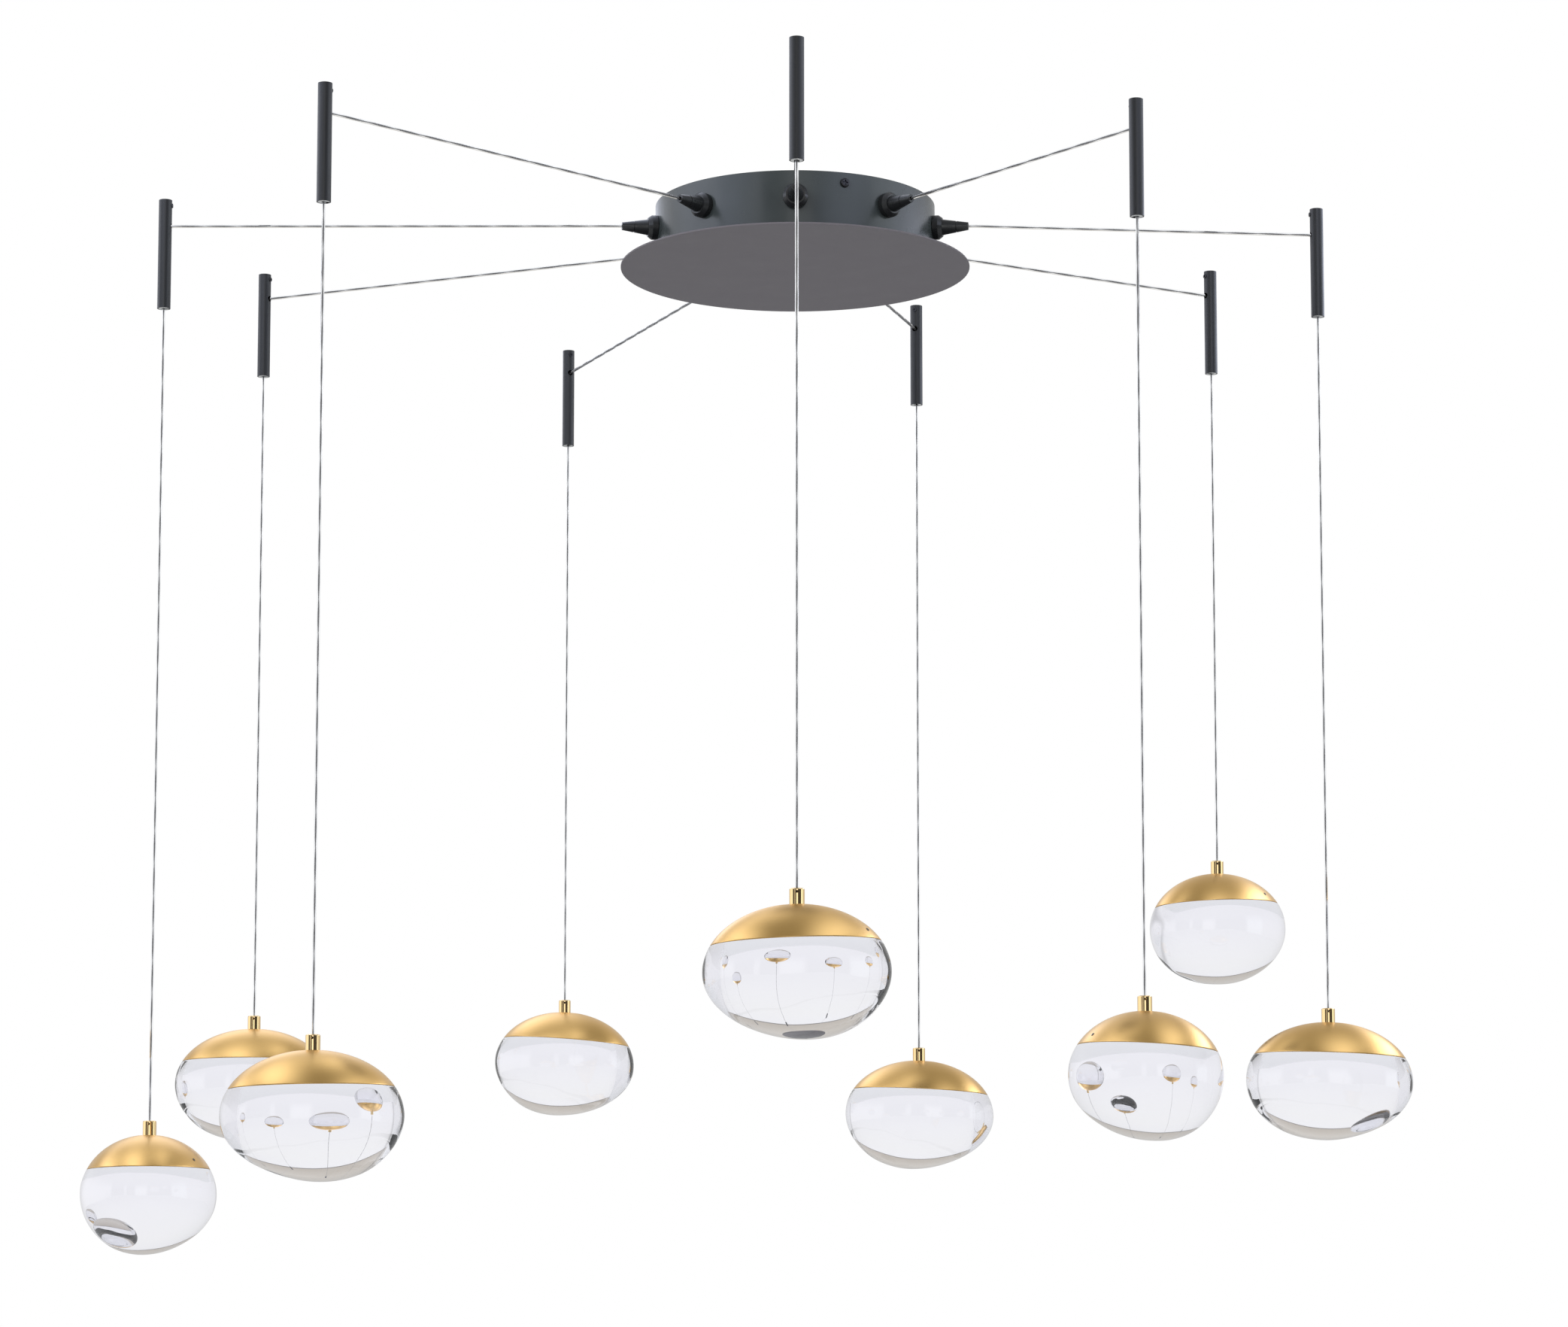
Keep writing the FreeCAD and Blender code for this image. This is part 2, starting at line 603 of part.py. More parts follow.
def ceiling_tubes():
    """Tubes under the ceiling, with a side hole for the cable and one for the grub screw."""
    outside = cylinder("tube_outside", TUBE_RADIUS, "{tube_length}", z="-{tube_length}")
    inside = cylinder("tube_bore", TUBE_INSIDE, "{tube_length} * 2", z="-{tube_length} * 1.5")
    side = cylinder("tube_cable_hole", "{tube_hole_diameter} / 2", "{tube_diameter}",
                    z="-{cable_level}", turns=[("0; 1; 0", "90")])
    grub = cylinder("tube_grub_hole", "{grub_diameter} / 2 + {grub_gap}", "{tube_diameter}",
                    z="-{grub_level}", turns=[("0; 1; 0", "90")])
    tube = cut("tube", outside, [inside, side, grub])
    return group("ceiling_tubes", at_each_tube(tube, "tube"))


def tube_bases():
    """Stubs that are screwed to the ceiling and hold the tubes."""
    stub = cylinder("stub", TUBE_INSIDE + " - {base_gap}", "{base_height}", z="-{base_height}")
    hole = cylinder("stub_hole", "{base_hole_diameter} / 2", "{base_height} * 2",
                    z="-{base_height} * 1.5")
    sink = primitive("Part::Cone", "stub_sink", {
        "Radius1": "{base_sink_diameter} / 2",
        "Radius2": "{base_hole_diameter} / 2",
        "Height": "{base_sink_depth}"}, z="-{base_height}")
    base = cut("base", stub, [hole, sink])
    return group("tube_bases", at_each_tube(base, "base"))


def tube_grub_screws():
    """Screws that clamp the tubes to their stubs."""
    inner = TUBE_INSIDE + " - {base_gap} + {grub_gap}"
    outer = TUBE_RADIUS + " + {grub_proud}"
    along = [("0; 1; 0", "90")]
    screw = cylinder("grub_blank", "{grub_diameter} / 2", "%s - (%s)" % (outer, inner),
                     x=inner, z="-{grub_level}", turns=along)
    socket = cylinder("grub_hexagon", "{grub_socket} / 2", "{grub_socket}",
                      x=outer + " - {grub_socket} / 2", z="-{grub_level}", turns=along)
    grub = cut("grub", screw, [socket])
    return group("tube_grub_screws", at_each_tube(grub, "grub"))


def tube_end_plugs():
    """Pale plugs in the tubes' mouths, with the notch that each cable hangs in."""
    blank = cylinder("plug_blank", TUBE_INSIDE + " - {plug_gap}", "{plug_height}",
                     z="-{tube_length}")
    eye = cylinder("plug_eye", "{plug_slot} / 2", "{plug_height} * 2",
                   z="-{tube_length} - {plug_height} / 2")
    slot = box("plug_notch", TUBE_RADIUS, "{plug_slot}", "{plug_height} * 2",
               y="-{plug_slot} / 2", z="-{tube_length} - {plug_height} / 2")
    plug = cut("plug", blank, [eye, slot])
    return group("tube_end_plugs", at_each_tube(plug, "plug"))


def led_driver():
    """Power supply under the bracket: a block with rounded upright edges."""
    body = doc.addObject("PartDesign::Body", "led_driver")
    half_length = "{driver_length} / 2"
    half_width = "{driver_width} / 2"
    section = outline(body, "driver_outline", "XY_Plane", [
        ("-" + half_length, "-" + half_width),
        (half_length, "-" + half_width),
        (half_length, half_width),
        ("-" + half_length, half_width),
    ])
    section.setExpression("AttachmentOffset", formula(
        "placement(vector(0; 0; -{bracket_thickness} - {driver_height}); rotation(vector(0; 0; 1); 0))"))
    block = body.newObject("PartDesign::Pad", "driver_block")
    block.Profile = section
    block.setExpression("Length", formula("{driver_height}"))
    doc.recompute()
    upright = edges_where(block.Shape, lambda edge, middle:
                          abs(edge.tangentAt(edge.FirstParameter).z) > 1 - NEAR)
    rounded(body, "driver_corners", block, upright, "{driver_corner}")
    return body


def hub_plate():
    """Plate on three posts under the bracket's arms, for the terminal blocks."""
    disc = cylinder("hub_disc", "{hub_diameter} / 2", "{hub_thickness}",
                    z="-" + HUB_TOP + " - {hub_thickness}")
    bore = cylinder("hub_hole", "{hub_bore} / 2", "{hub_thickness} * 3",
                    z="-" + HUB_TOP + " - {hub_thickness} * 2")
    pieces = [cut("hub_ring", disc, [bore])]
    for index, turn in enumerate(SCREW_TURNS, 1):
        x, y = across(turn, formula("({hub_diameter} / 2 - {post_inset})"))
        pieces.append(cylinder("hub_post_%d" % index, "{post_diameter} / 2",
                               HUB_TOP + " - {bracket_thickness} + {hub_thickness} / 2", x=x, y=y,
                               z="-" + HUB_TOP + " - {hub_thickness} / 2"))
    return fuse("hub_plate", pieces)


def terminal_blocks():
    """One block for each cable, with its cable's hole and two screw holes on top."""
    block = box("terminal_blank", "{terminal_length}", "{terminal_width}", "{terminal_height}",
                x="{terminal_reach}", y="-{terminal_width} / 2", z="-" + HUB_TOP)
    entry = cylinder("terminal_entry_hole", CABLE_RADIUS + " + {terminal_gap}", "{terminal_length}",
                     x=TERMINAL_FACE + " - {terminal_entry}", z="-{cable_level}",
                     turns=[("0; 1; 0", "90")])
    wells = []
    for index, share in enumerate(("0.25", "0.75"), 1):
        wells.append(cylinder("terminal_well_%d" % index, "{terminal_screw} / 2",
                              "{terminal_screw_depth} * 2",
                              x="{terminal_reach} + {terminal_length} * " + share,
                              z="-{cable_level} + {terminal_height} / 2 - {terminal_screw_depth}"))
    terminal = cut("terminal", block, [entry] + wells)
    blocks = []
    for index, turn in enumerate(GLAND_TURNS, 1):
        blocks.append(copy_of(terminal, "terminal_%d" % index, turns=[heading(turn)]))
    return group("terminal_blocks", blocks)


def run_points(number):
    """Where one cable goes between its terminal and its tube's mouth."""
    turn = math.radians(value(drop_size(number, "gland")))
    away = FreeCAD.Vector(math.sin(turn), -math.cos(turn), 0)
    level = FreeCAD.Vector(0, 0, -value("Sizes.cable_level"))
    start = away * value(formula(TERMINAL_FACE + " - {terminal_entry}")) + level
    mouth = away * value(TURN_REACH) + level
    x, y = tube_place(number)
    tube = FreeCAD.Vector(value(x), value(y), 0)
    depth = value(formula(PIVOT_DEPTH + " - {cable_diameter} / 2 - {pivot_gap}"))
    points = [start, mouth, tube + level, tube - FreeCAD.Vector(0, 0, depth)]
    radii = [value("Sizes.cable_turn_radius"), value(TUBE_INSIDE)]
    if math.degrees((mouth - start).getAngle(points[2] - mouth)) < STRAIGHT:
        del points[1]
        del radii[0]
    return points, radii


def cable_path(points, radii):
    """Straight runs through the points, with an arc of the given radius at each inner one."""
    edges = []
    last = points[0]
    for before, corner, after, radius in zip(points, points[1:], points[2:], radii):
        into = (corner - before).normalize()
        out = (after - corner).normalize()
        turn = into.getAngle(out)
        reach = radius * math.tan(turn / 2)
        entry = corner - into * reach
        leave = corner + out * reach
        middle = corner + (out - into).normalize() * (radius / math.cos(turn / 2) - radius)
        edges.append(Part.LineSegment(last, entry).toShape())
        edges.append(Part.Arc(entry, middle, leave).toShape())
        last = leave
    edges.append(Part.LineSegment(last, points[-1]).toShape())
    return Part.Wire(edges)


def cable_runs():
    """Taut cables from their terminals, out of the glands and down into the tubes."""
    radius = value(CABLE_RADIUS)
    runs = []
    for number in range(1, len(DROPS) + 1):
        points, radii = run_points(number)
        path = cable_path(points, radii)
        start = points[0]
        ring = Part.Wire(Part.makeCircle(radius, start, points[1] - start))
        run = doc.addObject("Part::Feature", "cable_run_%d" % number)
        run.Shape = path.makePipeShell([ring], True, False)
        section_volume = math.pi * radius ** 2 * path.Length
        print("cable run %d: length %.1f, bends %s, volume %.1f of %.1f" % (
            number, path.Length, radii, run.Shape.Volume, section_volume))
        runs.append(run)
    return group("cable_runs", runs)


def drop_cable(number):
    """Plumb cable from its bending point in the tube's mouth down into the ferrule."""
    x, y = tube_place(number)
    foot = "(%s + {ferrule_height} + {ferrule_spigot_length})" % drop_size(number, "depth")
    length = foot + " - " + PIVOT_DEPTH
    cable = cylinder("drop_cable_%d_length" % number, CABLE_RADIUS, length, x=x, y=y, z="-" + foot)
    ball = primitive("Part::Sphere", "drop_cable_%d_top" % number, {"Radius": CABLE_RADIUS},
                     x=x, y=y, z="-" + PIVOT_DEPTH)
    return fuse("drop_cable_%d" % number, [cable, ball])


def ferrule():
    """Turned ferrule with a spigot, a through bore and a hole for its set screw."""
    body = doc.addObject("PartDesign::Body", "ferrule")
    bore = "{cable_diameter} / 2 + {ferrule_cable_gap}"
    section = outline(body, "ferrule_section", "XZ_Plane", [
        (bore, "0"),
        ("{ferrule_diameter} / 2", "0"),
        ("{ferrule_diameter} / 2", "-{ferrule_height}"),
        ("{ferrule_spigot_diameter} / 2", "-{ferrule_height}"),
        ("{ferrule_spigot_diameter} / 2", "-{ferrule_height} - {ferrule_spigot_length}"),
        (bore, "-{ferrule_height} - {ferrule_spigot_length}"),
    ])
    blank = turned(body, "ferrule_turned", section, "Z_Axis")
    doc.recompute()
    rim = value(formula("{ferrule_diameter} / 2"))
    top = edges_where(blank.Shape, lambda edge, middle: abs(middle.z) < NEAR
                      and isinstance(edge.Curve, Part.Circle)
                      and abs(math.hypot(middle.x, middle.y) - rim) < NEAR)
    rounded(body, "ferrule_edge", blank, top, "{ferrule_round}")
    doc.recompute()
    hole = circle(body, "ferrule_screw", "XZ_Plane", "0", "-{ferrule_screw_level}",
                  "{ferrule_screw_hole} / 2")
    drilled(body, "ferrule_screw_hole", hole, reverse=True)
    return body


def ellipsoid(name, inset):
    """The drop's outer form about its own middle, made smaller all round by an inset.

    Its poles are at the two long ends and its seam runs along the underside, clear of the cap.
    """
    return primitive("Part::Ellipsoid", name, {
        "Radius1": "{glass_length} / 2 - (%s)" % inset,
        "Radius2": "{glass_height} / 2 - (%s)" % inset,
        "Radius3": "{glass_width} / 2 - (%s)" % inset}, turns=[("0; 1; 0", "90")])


def above_the_rim(name, height):
    """A block over the plane where the cap meets the glass."""
    return box(name, "{glass_length} * 2", "{glass_width} * 2", height,
               x="-{glass_length}", y="-{glass_width}", z="{cap_level}")


def glass_body():
    """Solid glass below the cap, with a shallow recess on top for the lamp disc."""
    recess = cylinder("lamp_recess", "{lamp_diameter} / 2 + {lamp_gap}", "{glass_height}",
                      z="{cap_level} - {lamp_depth} - {lamp_gap}")
    return cut("glass_body", ellipsoid("glass_form", "0"),
               [above_the_rim("glass_top", "{glass_height}"), recess])


def cap_shell():
    """Hollow metal dome that carries on the glass's outline."""
    dome = common("cap_dome", ellipsoid("cap_form", "0"), above_the_rim("cap_zone", "{glass_height}"))
    return cut("cap_shell", dome, [ellipsoid("cap_inside", "{cap_wall}")])


def light_engine():
    """Plate and post that fill the cap's middle, with the lamp disc below them."""
    inside = ellipsoid("engine_form", "{cap_wall} + {engine_gap}")
    plate = above_the_rim("engine_slab", "{engine_plate}")
    post = cylinder("engine_post", "{engine_post_diameter} / 2", "{glass_height}", z="{cap_level}")
    upper = common("engine_upper", inside, fuse("engine_blank", [plate, post]))
    lamp = cylinder("lamp_disc", "{lamp_diameter} / 2", "{lamp_depth} + {engine_plate} / 2",
                    z="{cap_level} - {lamp_depth}")
    return fuse("engine", [upper, lamp])


def drop_pieces(number, masters):
    """The five sub-parts of one drop, hung below its tube."""
    x, y = tube_place(number)
    top = drop_size(number, "depth")
    seat = formula("(%s + {ferrule_height})" % top)
    middle = "-(%s + %s)" % (seat, SEAT_RISE)
    pose = [("0; 1; 0", drop_size(number, "lean")), ("0; 0; 1", drop_size(number, "turn"))]
    ferrule_part = copy_of(masters["ferrule"], "ferrule_%d" % number, x, y, "-" + top)
    glass_part = copy_of(masters["glass"], "glass_%d" % number, x, y, middle, pose)
    over = cylinder("cap_%d_seat" % number, "{glass_width} / 4", "{ferrule_height}",
                    x=x, y=y, z="-" + seat)
    hole = cylinder("cap_%d_hole" % number, SPIGOT_RADIUS + " + {cap_hole_gap}",
                    "{ferrule_spigot_length} * 2 + {cap_wall}", x=x, y=y,
                    z="-%s - {ferrule_spigot_length} - {cap_wall} / 2" % seat)
    whole_cap = copy_of(masters["cap"], "whole_cap_%d" % number, x, y, middle, pose)
    whole_engine = copy_of(masters["engine"], "whole_engine_%d" % number, x, y, middle, pose)
    cap_part = cut("glass_cap_%d" % number, whole_cap, [fuse("cap_%d_cuts" % number, [over, hole])])
    engine_part = cut("light_engine_%d" % number, whole_engine, [hole])
    return [drop_cable(number), ferrule_part, cap_part, engine_part, glass_part]


def build():
    """Make every sub-part and give each one its label."""
    parts = [canopy_ring(), canopy_cover(), cover_nuts(), ceiling_bracket(), canopy_screws(),
             cable_glands(), gland_nuts(), ceiling_tubes(), tube_bases(), tube_grub_screws(),
             tube_end_plugs(), led_driver(), hub_plate(), terminal_blocks(), cable_runs()]
    masters = {"ferrule": ferrule(), "glass": glass_body(), "cap": cap_shell(),
               "engine": light_engine()}
    for number in range(1, len(DROPS) + 1):
        parts += drop_pieces(number, masters)
    doc.recompute()
    for part in parts:
        part.Label = part.Name
    return parts


def check(parts):
    """Stop if any object failed, or if a sub-part has no valid shape."""
    for item in doc.Objects:
        if "Invalid" in item.State or "Error" in item.State:
            raise RuntimeError("%s could not be made: %s" % (item.Label, item.State))
    for part in parts:
        shape = Part.getShape(part)
        if shape.isNull() or not shape.isValid() or not shape.Solids:
            raise RuntimeError("%s has no valid solid" % part.Label)


def write(parts):
    """Write one file for each sub-part."""
    os.makedirs("parts", exist_ok=True)
    for part in parts:
        shape = Part.getShape(part)
        shape.exportStep("parts/%s.step" % part.Label)
        print("%-18s solids %d, volume %.1f" % (part.Label, len(shape.Solids), shape.Volume))


sub_parts = build()
check(sub_parts)
write(sub_parts)
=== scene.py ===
"""Looks of a cluster pendant: nine glass drops on thin cables from one round ceiling canopy.

Metres, from sizes in millimetres. The origin is the centre of the canopy in the plane of the
ceiling and +Z is up. Turns round the canopy are counted from the front, -Y, towards +X.
"""

import math

import bpy
import numpy as np
from bpy.props import FloatProperty, FloatVectorProperty, PointerProperty
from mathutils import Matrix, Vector


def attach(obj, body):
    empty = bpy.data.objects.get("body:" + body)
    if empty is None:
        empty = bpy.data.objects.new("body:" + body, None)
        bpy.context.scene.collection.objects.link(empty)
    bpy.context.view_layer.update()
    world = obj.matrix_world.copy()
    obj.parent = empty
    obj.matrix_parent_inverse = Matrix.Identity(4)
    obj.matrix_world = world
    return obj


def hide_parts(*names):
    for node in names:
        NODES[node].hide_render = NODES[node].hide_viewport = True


bl_info = {
    "name": "Cluster pendant",
    "version": (1, 0, 0),
    "blender": (4, 5, 0),
    "location": "View3D > Sidebar > Pendant",
    "description": "Finishes, cables, caps and glass drops of a nine drop ceiling light",
    "category": "Object",
}

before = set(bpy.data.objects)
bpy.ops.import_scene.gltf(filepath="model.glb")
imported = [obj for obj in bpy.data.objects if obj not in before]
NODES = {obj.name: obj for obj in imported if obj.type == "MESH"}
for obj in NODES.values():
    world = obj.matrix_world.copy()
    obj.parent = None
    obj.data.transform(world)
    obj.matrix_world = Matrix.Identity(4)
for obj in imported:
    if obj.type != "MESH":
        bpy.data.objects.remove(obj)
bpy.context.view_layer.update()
MM = 0.001

# The nine drops, as in the part's source: lengths in millimetres, turns in degrees.
DROPS = [
    {"reach": 570, "bearing": -87.3, "gland": -80, "depth": 832, "turn": 90, "lean": -0.5},
    {"reach": 566, "bearing": -115.4, "gland": -120, "depth": 717, "turn": -5, "lean": 0},
    {"reach": 548, "bearing": -45, "gland": -40, "depth": 784, "turn": 17, "lean": -1.5},
    {"reach": 605, "bearing": -157.3, "gland": -160, "depth": 675, "turn": -28, "lean": 4.9},
    {"reach": 511, "bearing": 0, "gland": 0, "depth": 680, "turn": 13, "lean": -2.4},
    {"reach": 386, "bearing": 161.7, "gland": 160, "depth": 738, "turn": -25, "lean": 3.4},
    {"reach": 444, "bearing": 39.6, "gland": 40, "depth": 749, "turn": -65, "lean": 4.3},
    {"reach": 462, "bearing": 120, "gland": 120, "depth": 571, "turn": 51, "lean": -3},
    {"reach": 475, "bearing": 90.5, "gland": 80, "depth": 730, "turn": -10, "lean": 2.4},
]

# Cable routes, in millimetres: the level of the glands, the start in a terminal, the bend at a
# gland's mouth, the foot in a tube, the drop's top there and its hold in the ferrule.
CABLE_LEVEL = 24.0
TERMINAL_REACH = 74.0
MOUTH_REACH = 161.4
RUN_FOOT = 96.9
DROP_TOP = 97.1
FERRULE_GRIP = 18.8
BEND_LEAD = 17.0

# How finely a cable is made: curve points a span and rounding of the jacket; then the strands'
# step along the cable and stop before its ends, in millimetres, and their sides.
CURVE_STEPS = 12
JACKET_ROUNDING = 5
STRAND_STEP = 2.5
STRAND_STOP = 1.0
STRAND_SIDES = 7

# A drop's form about its own middle, in millimetres.
HALF_LENGTH = 74.0
HALF_WIDTH = 59.0
HALF_HEIGHT = 52.5
RIM = 21.8
FERRULE_HEIGHT = 12.8
SEAT_RISE = 52.1
DOME_TOP = 51.6
CAP_WALL = 2.0
SPIGOT_HOLE = 4.95
LAMP_RECESS = 30.4
LAMP_RECESS_DEPTH = 3.0
GLASS_GAP = 0.12

# How finely it is made: rings between two heights, and points round.
CAP_RINGS = 72
CAP_INNER_RINGS = 40
CAP_POINTS = 224
GLASS_RINGS = 110
GLASS_POINTS = 192

# The cap's rim, in millimetres: the rounding of its outer edge, a point on that rounding, in and
# up, and a ring on the flat rim. The inner dome ends a little short of the outer one's cut.
CAP_EDGE = 0.35
CAP_EDGE_IN = 0.08
CAP_EDGE_UP = 0.12
CAP_FOOT = 1.2
CAP_TOP_SHORT = 0.3

# The glass, in millimetres: its lowest ring as a share of the half height, where the outside
# ends under the flat top, the eased edge's two rings, in and down, and a ring on the flat top.
GLASS_FOOT = 0.99997
GLASS_EDGE = 0.5
GLASS_EASE = (0.35, 0.9)
GLASS_EASE_DOWN = 0.12
GLASS_LAND = (45.0, 40.0)
# The lamp's recess: how far its lip and corner are eased, and the rings on its floor.
RECESS_LIP = 0.2
RECESS_CORNER = 0.3
RECESS_RINGS = (15.0, 1.0)

# Waves of the hand formed glass: length in millimetres and share, how many of each, what their
# sum is divided by, and the seed before the first drop's. They start a little under the rim and
# reach their full height a fade's length lower, in millimetres.
WAVES = [(70.0, 1.0), (45.0, 0.6), (24.0, 0.22)]
WAVES_EACH = 4
WAVE_SUM = 3
WAVE_SEED = 40
FADE_START = 2.0
FADE_LENGTH = 14.0

# How much each drop's underside rises towards its right end, as seen from the front.
RAISED = [0.14, 0.10, -0.11, 0.12, -0.11, 0.11, -0.16, 0.05, 0.07]

# The world turn of each cap's set screw, counted from the right towards the back, its height
# over the rim, and its section from the tip to the socket's foot: share of the radius, and
# millimetres out.
CAP_SCREW_TURNS = [-28.0, 80.0, 100.0, 70.0, -22.0, 95.0, -158.0, -30.0, 85.0]
CAP_SCREW_RISE = 7.0
CAP_SCREW_SECTION = [(1.0, -2.4), (1.0, 0.2), (0.84, 0.4), (0.46, 0.4), (0.46, -0.8),
                     (0.02, -0.8)]
CAP_SCREW_SIDES = 20

# Most values of a noise lie between these two.
NOISE_LOW = 0.3
NOISE_HIGH = 0.7
# Brushed gold: how often its streaks and clouds change in a millimetre, round and up the cap.
GOLD_STREAKS = (0.05, 0.05, 6.0)
GOLD_CLOUDS = (0.012, 0.012, 0.05)

# What metal and glass see of the studio. Round: 0 in front, 0.25 at the left, 0.5 at the back,
# 0.75 at the right and 1 in front again. Metal's rise: 0 straight down, 0.5 level, 1 straight up.
METAL_ROUND = [(0.0, 1.0), (0.022, 0.9), (0.03, 0.05), (0.075, 0.05), (0.082, 0.7), (0.094, 0.7),
               (0.10, 0.08), (0.175, 0.08), (0.19, 0.85), (0.36, 0.66), (0.41, 0.4), (0.5, 0.4),
               (0.59, 0.38), (0.63, 0.42), (0.735, 0.5), (0.75, (0.9, 0.98, 1.0)),
               (0.81, (0.9, 0.98, 1.0)), (0.825, 0.05), (0.955, 0.04), (0.968, 0.9), (1.0, 1.0)]
METAL_RISE = [(0.0, 0.45), (0.35, 0.75), (0.5, 1.0), (1.0, 1.0)]
METAL_STRENGTH = 1.6
# Overhead, metal sees a plain shade from front to back.
OVERHEAD_START = 0.58
OVERHEAD_FULL = 0.70
OVERHEAD = [(0.0, 0.21), (0.5, 0.22), (0.75, 0.32), (1.0, 0.50)]
# Soft panels over the drops that only satin metal sees: their height, the points along a side,
# and for each its middle and half sizes in millimetres and the strength in the middle.
PANEL_LEVEL = 250.0
PANEL_POINTS = 25
PANELS = [(-950.0, -500.0, 700.0, 1200.0, 1.9), (700.0, -750.0, 600.0, 1200.0, 1.5),
          (-800.0, 1500.0, 1000.0, 1200.0, 1.5), (1700.0, 600.0, 900.0, 1300.0, 4.5),
          (-2000.0, 200.0, 900.0, 1300.0, 2.2), (-220.0, 100.0, 420.0, 550.0, 1.5)]
PANEL_COLOUR = (0.92, 1.0, 1.26, 1.0)
# Glass's rise: level is at LEVEL_SHARE, and the dark ceiling starts CEILING_SHARE above that.
GLASS_ROUND = [(0.0, 0.9), (0.25, 0.92), (0.30, 0.98), (0.315, 0.55), (0.33, 1.0), (0.67, 1.0),
               (0.685, 0.55), (0.70, 0.98), (0.75, 0.92), (1.0, 0.9)]
GLASS_RISE = [(0.0, (0.98, 0.98, 1.0)), (0.40, (1.0, 1.0, 0.985)), (0.53, 1.0), (0.535, 0.10),
              (0.545, (0.56, 0.51, 0.44)), (0.7, (0.70, 0.655, 0.575)), (1.0, (0.66, 0.62, 0.55))]
LEVEL_SHARE = 0.03
CEILING_SHARE = 0.5
# It starts where the way up is CEILING_SLOPE times the way out. That is the root of the way
# back's square and CEILING_SIDES of the way aside's square.
CEILING_SLOPE = 0.84
CEILING_SIDES = 0.3
# The plain light that the surroundings throw on everything.
LEVEL_LIGHT = (0.95, 0.97, 1.0, 1.0)
LEVEL_STRENGTH = 0.62

# The floor, in millimetres, and how bright the glass sees it.
FLOOR_HALF = 9000.0
FLOOR_LEVEL = -2400.0
FLOOR_GLOW = 0.36
# Soft boxes: name, place, point looked at and side, in metres, and power in watts.
SOFT_LIGHTS = [("key_light", (-1.9, -2.6, 0.9), (0, 0, -0.5), 2.2, 60.0),
               ("side_light", (2.6, -1.2, 0.0), (0, 0, -0.4), 1.4, 24.0)]
# The camera: lens and sensor in millimetres, the shift up as a share of the frame, how far it
# sees and where it stands in metres, and how far it looks up and turns left in radians.
CAMERA_LENS = 100.6
CAMERA_SENSOR = 36.0
CAMERA_SHIFT = 0.12
CAMERA_SIGHT = 60.0
CAMERA_PLACE = (-0.00972, -3.89103, -1.05856)
CAMERA_RISE = 0.11988
CAMERA_TURN = 0.0001


class PendantSizes(bpy.types.PropertyGroup):
    """Sizes of the pieces that are made here."""
    strand: FloatProperty(
        name="Strand", description="Thickness of one strand of the cable's core",
        default=0.50 * MM, unit="LENGTH")
    lay: FloatProperty(
        name="Lay length", description="Length of one turn of the strands",
        default=58 * MM, unit="LENGTH")
    jacket: FloatProperty(
        name="Jacket", description="Thickness of the cable over its clear jacket",
        default=2.8 * MM, unit="LENGTH")
    wave: FloatProperty(
        name="Wave", description="Height of the waves in the hand formed glass",
        default=0.35 * MM, unit="LENGTH")
    cap_screw: FloatProperty(
        name="Cap screw", description="Diameter of a cap's set screw",
        default=3.0 * MM, unit="LENGTH")


class PendantColours(bpy.types.PropertyGroup):
    """Colours of the finishes."""
    ring: FloatVectorProperty(
        name="Ring", description="Satin coat of the canopy's ring", subtype="COLOR",
        default=(0.036, 0.044, 0.046))
    cover: FloatVectorProperty(
        name="Cover", description="Matt coat of the canopy's cover", subtype="COLOR",
        default=(0.125, 0.115, 0.128))
    tube: FloatVectorProperty(
        name="Tubes", description="Satin coat of the ceiling tubes", subtype="COLOR",
        default=(0.013, 0.014, 0.016))
    nylon: FloatVectorProperty(
        name="Glands", description="Moulded nylon of the glands", subtype="COLOR",
        default=(0.012, 0.013, 0.014))
    gold: FloatVectorProperty(
        name="Brushed gold", description="Satin brushed gold of the caps", subtype="COLOR",
        default=(0.77, 0.485, 0.165))
    polished: FloatVectorProperty(
        name="Polished gold", description="Polished gold of the ferrules", subtype="COLOR",
        default=(0.90, 0.66, 0.34))
    silver: FloatVectorProperty(
        name="Silver", description="Strands of the cable's core", subtype="COLOR",
        default=(0.26, 0.26, 0.27))
    glass: FloatVectorProperty(
        name="Glass", description="Tint of the solid glass", subtype="COLOR",
        default=(0.88, 0.88, 0.92))
    floor: FloatVectorProperty(
        name="Floor", description="Pale floor under the light", subtype="COLOR",
        default=(0.86, 0.86, 0.86))


def drop_frame(number):
    """A drop's middle, in millimetres, and its turn matrix: about Z, then the lean about Y."""
    drop = DROPS[number - 1]
    bearing = math.radians(drop["bearing"])
    turn, lean = math.radians(drop["turn"]), math.radians(drop["lean"])
    middle = np.array([drop["reach"] * math.sin(bearing), -drop["reach"] * math.cos(bearing),
                       -(drop["depth"] + FERRULE_HEIGHT + SEAT_RISE)])
    about_z = np.array([[math.cos(turn), -math.sin(turn), 0], [math.sin(turn), math.cos(turn), 0],
                        [0, 0, 1]])
    about_y = np.array([[math.cos(lean), 0, math.sin(lean)], [0, 1, 0],
                        [-math.sin(lean), 0, math.cos(lean)]])
    return middle, about_y @ about_z


# Meshes.

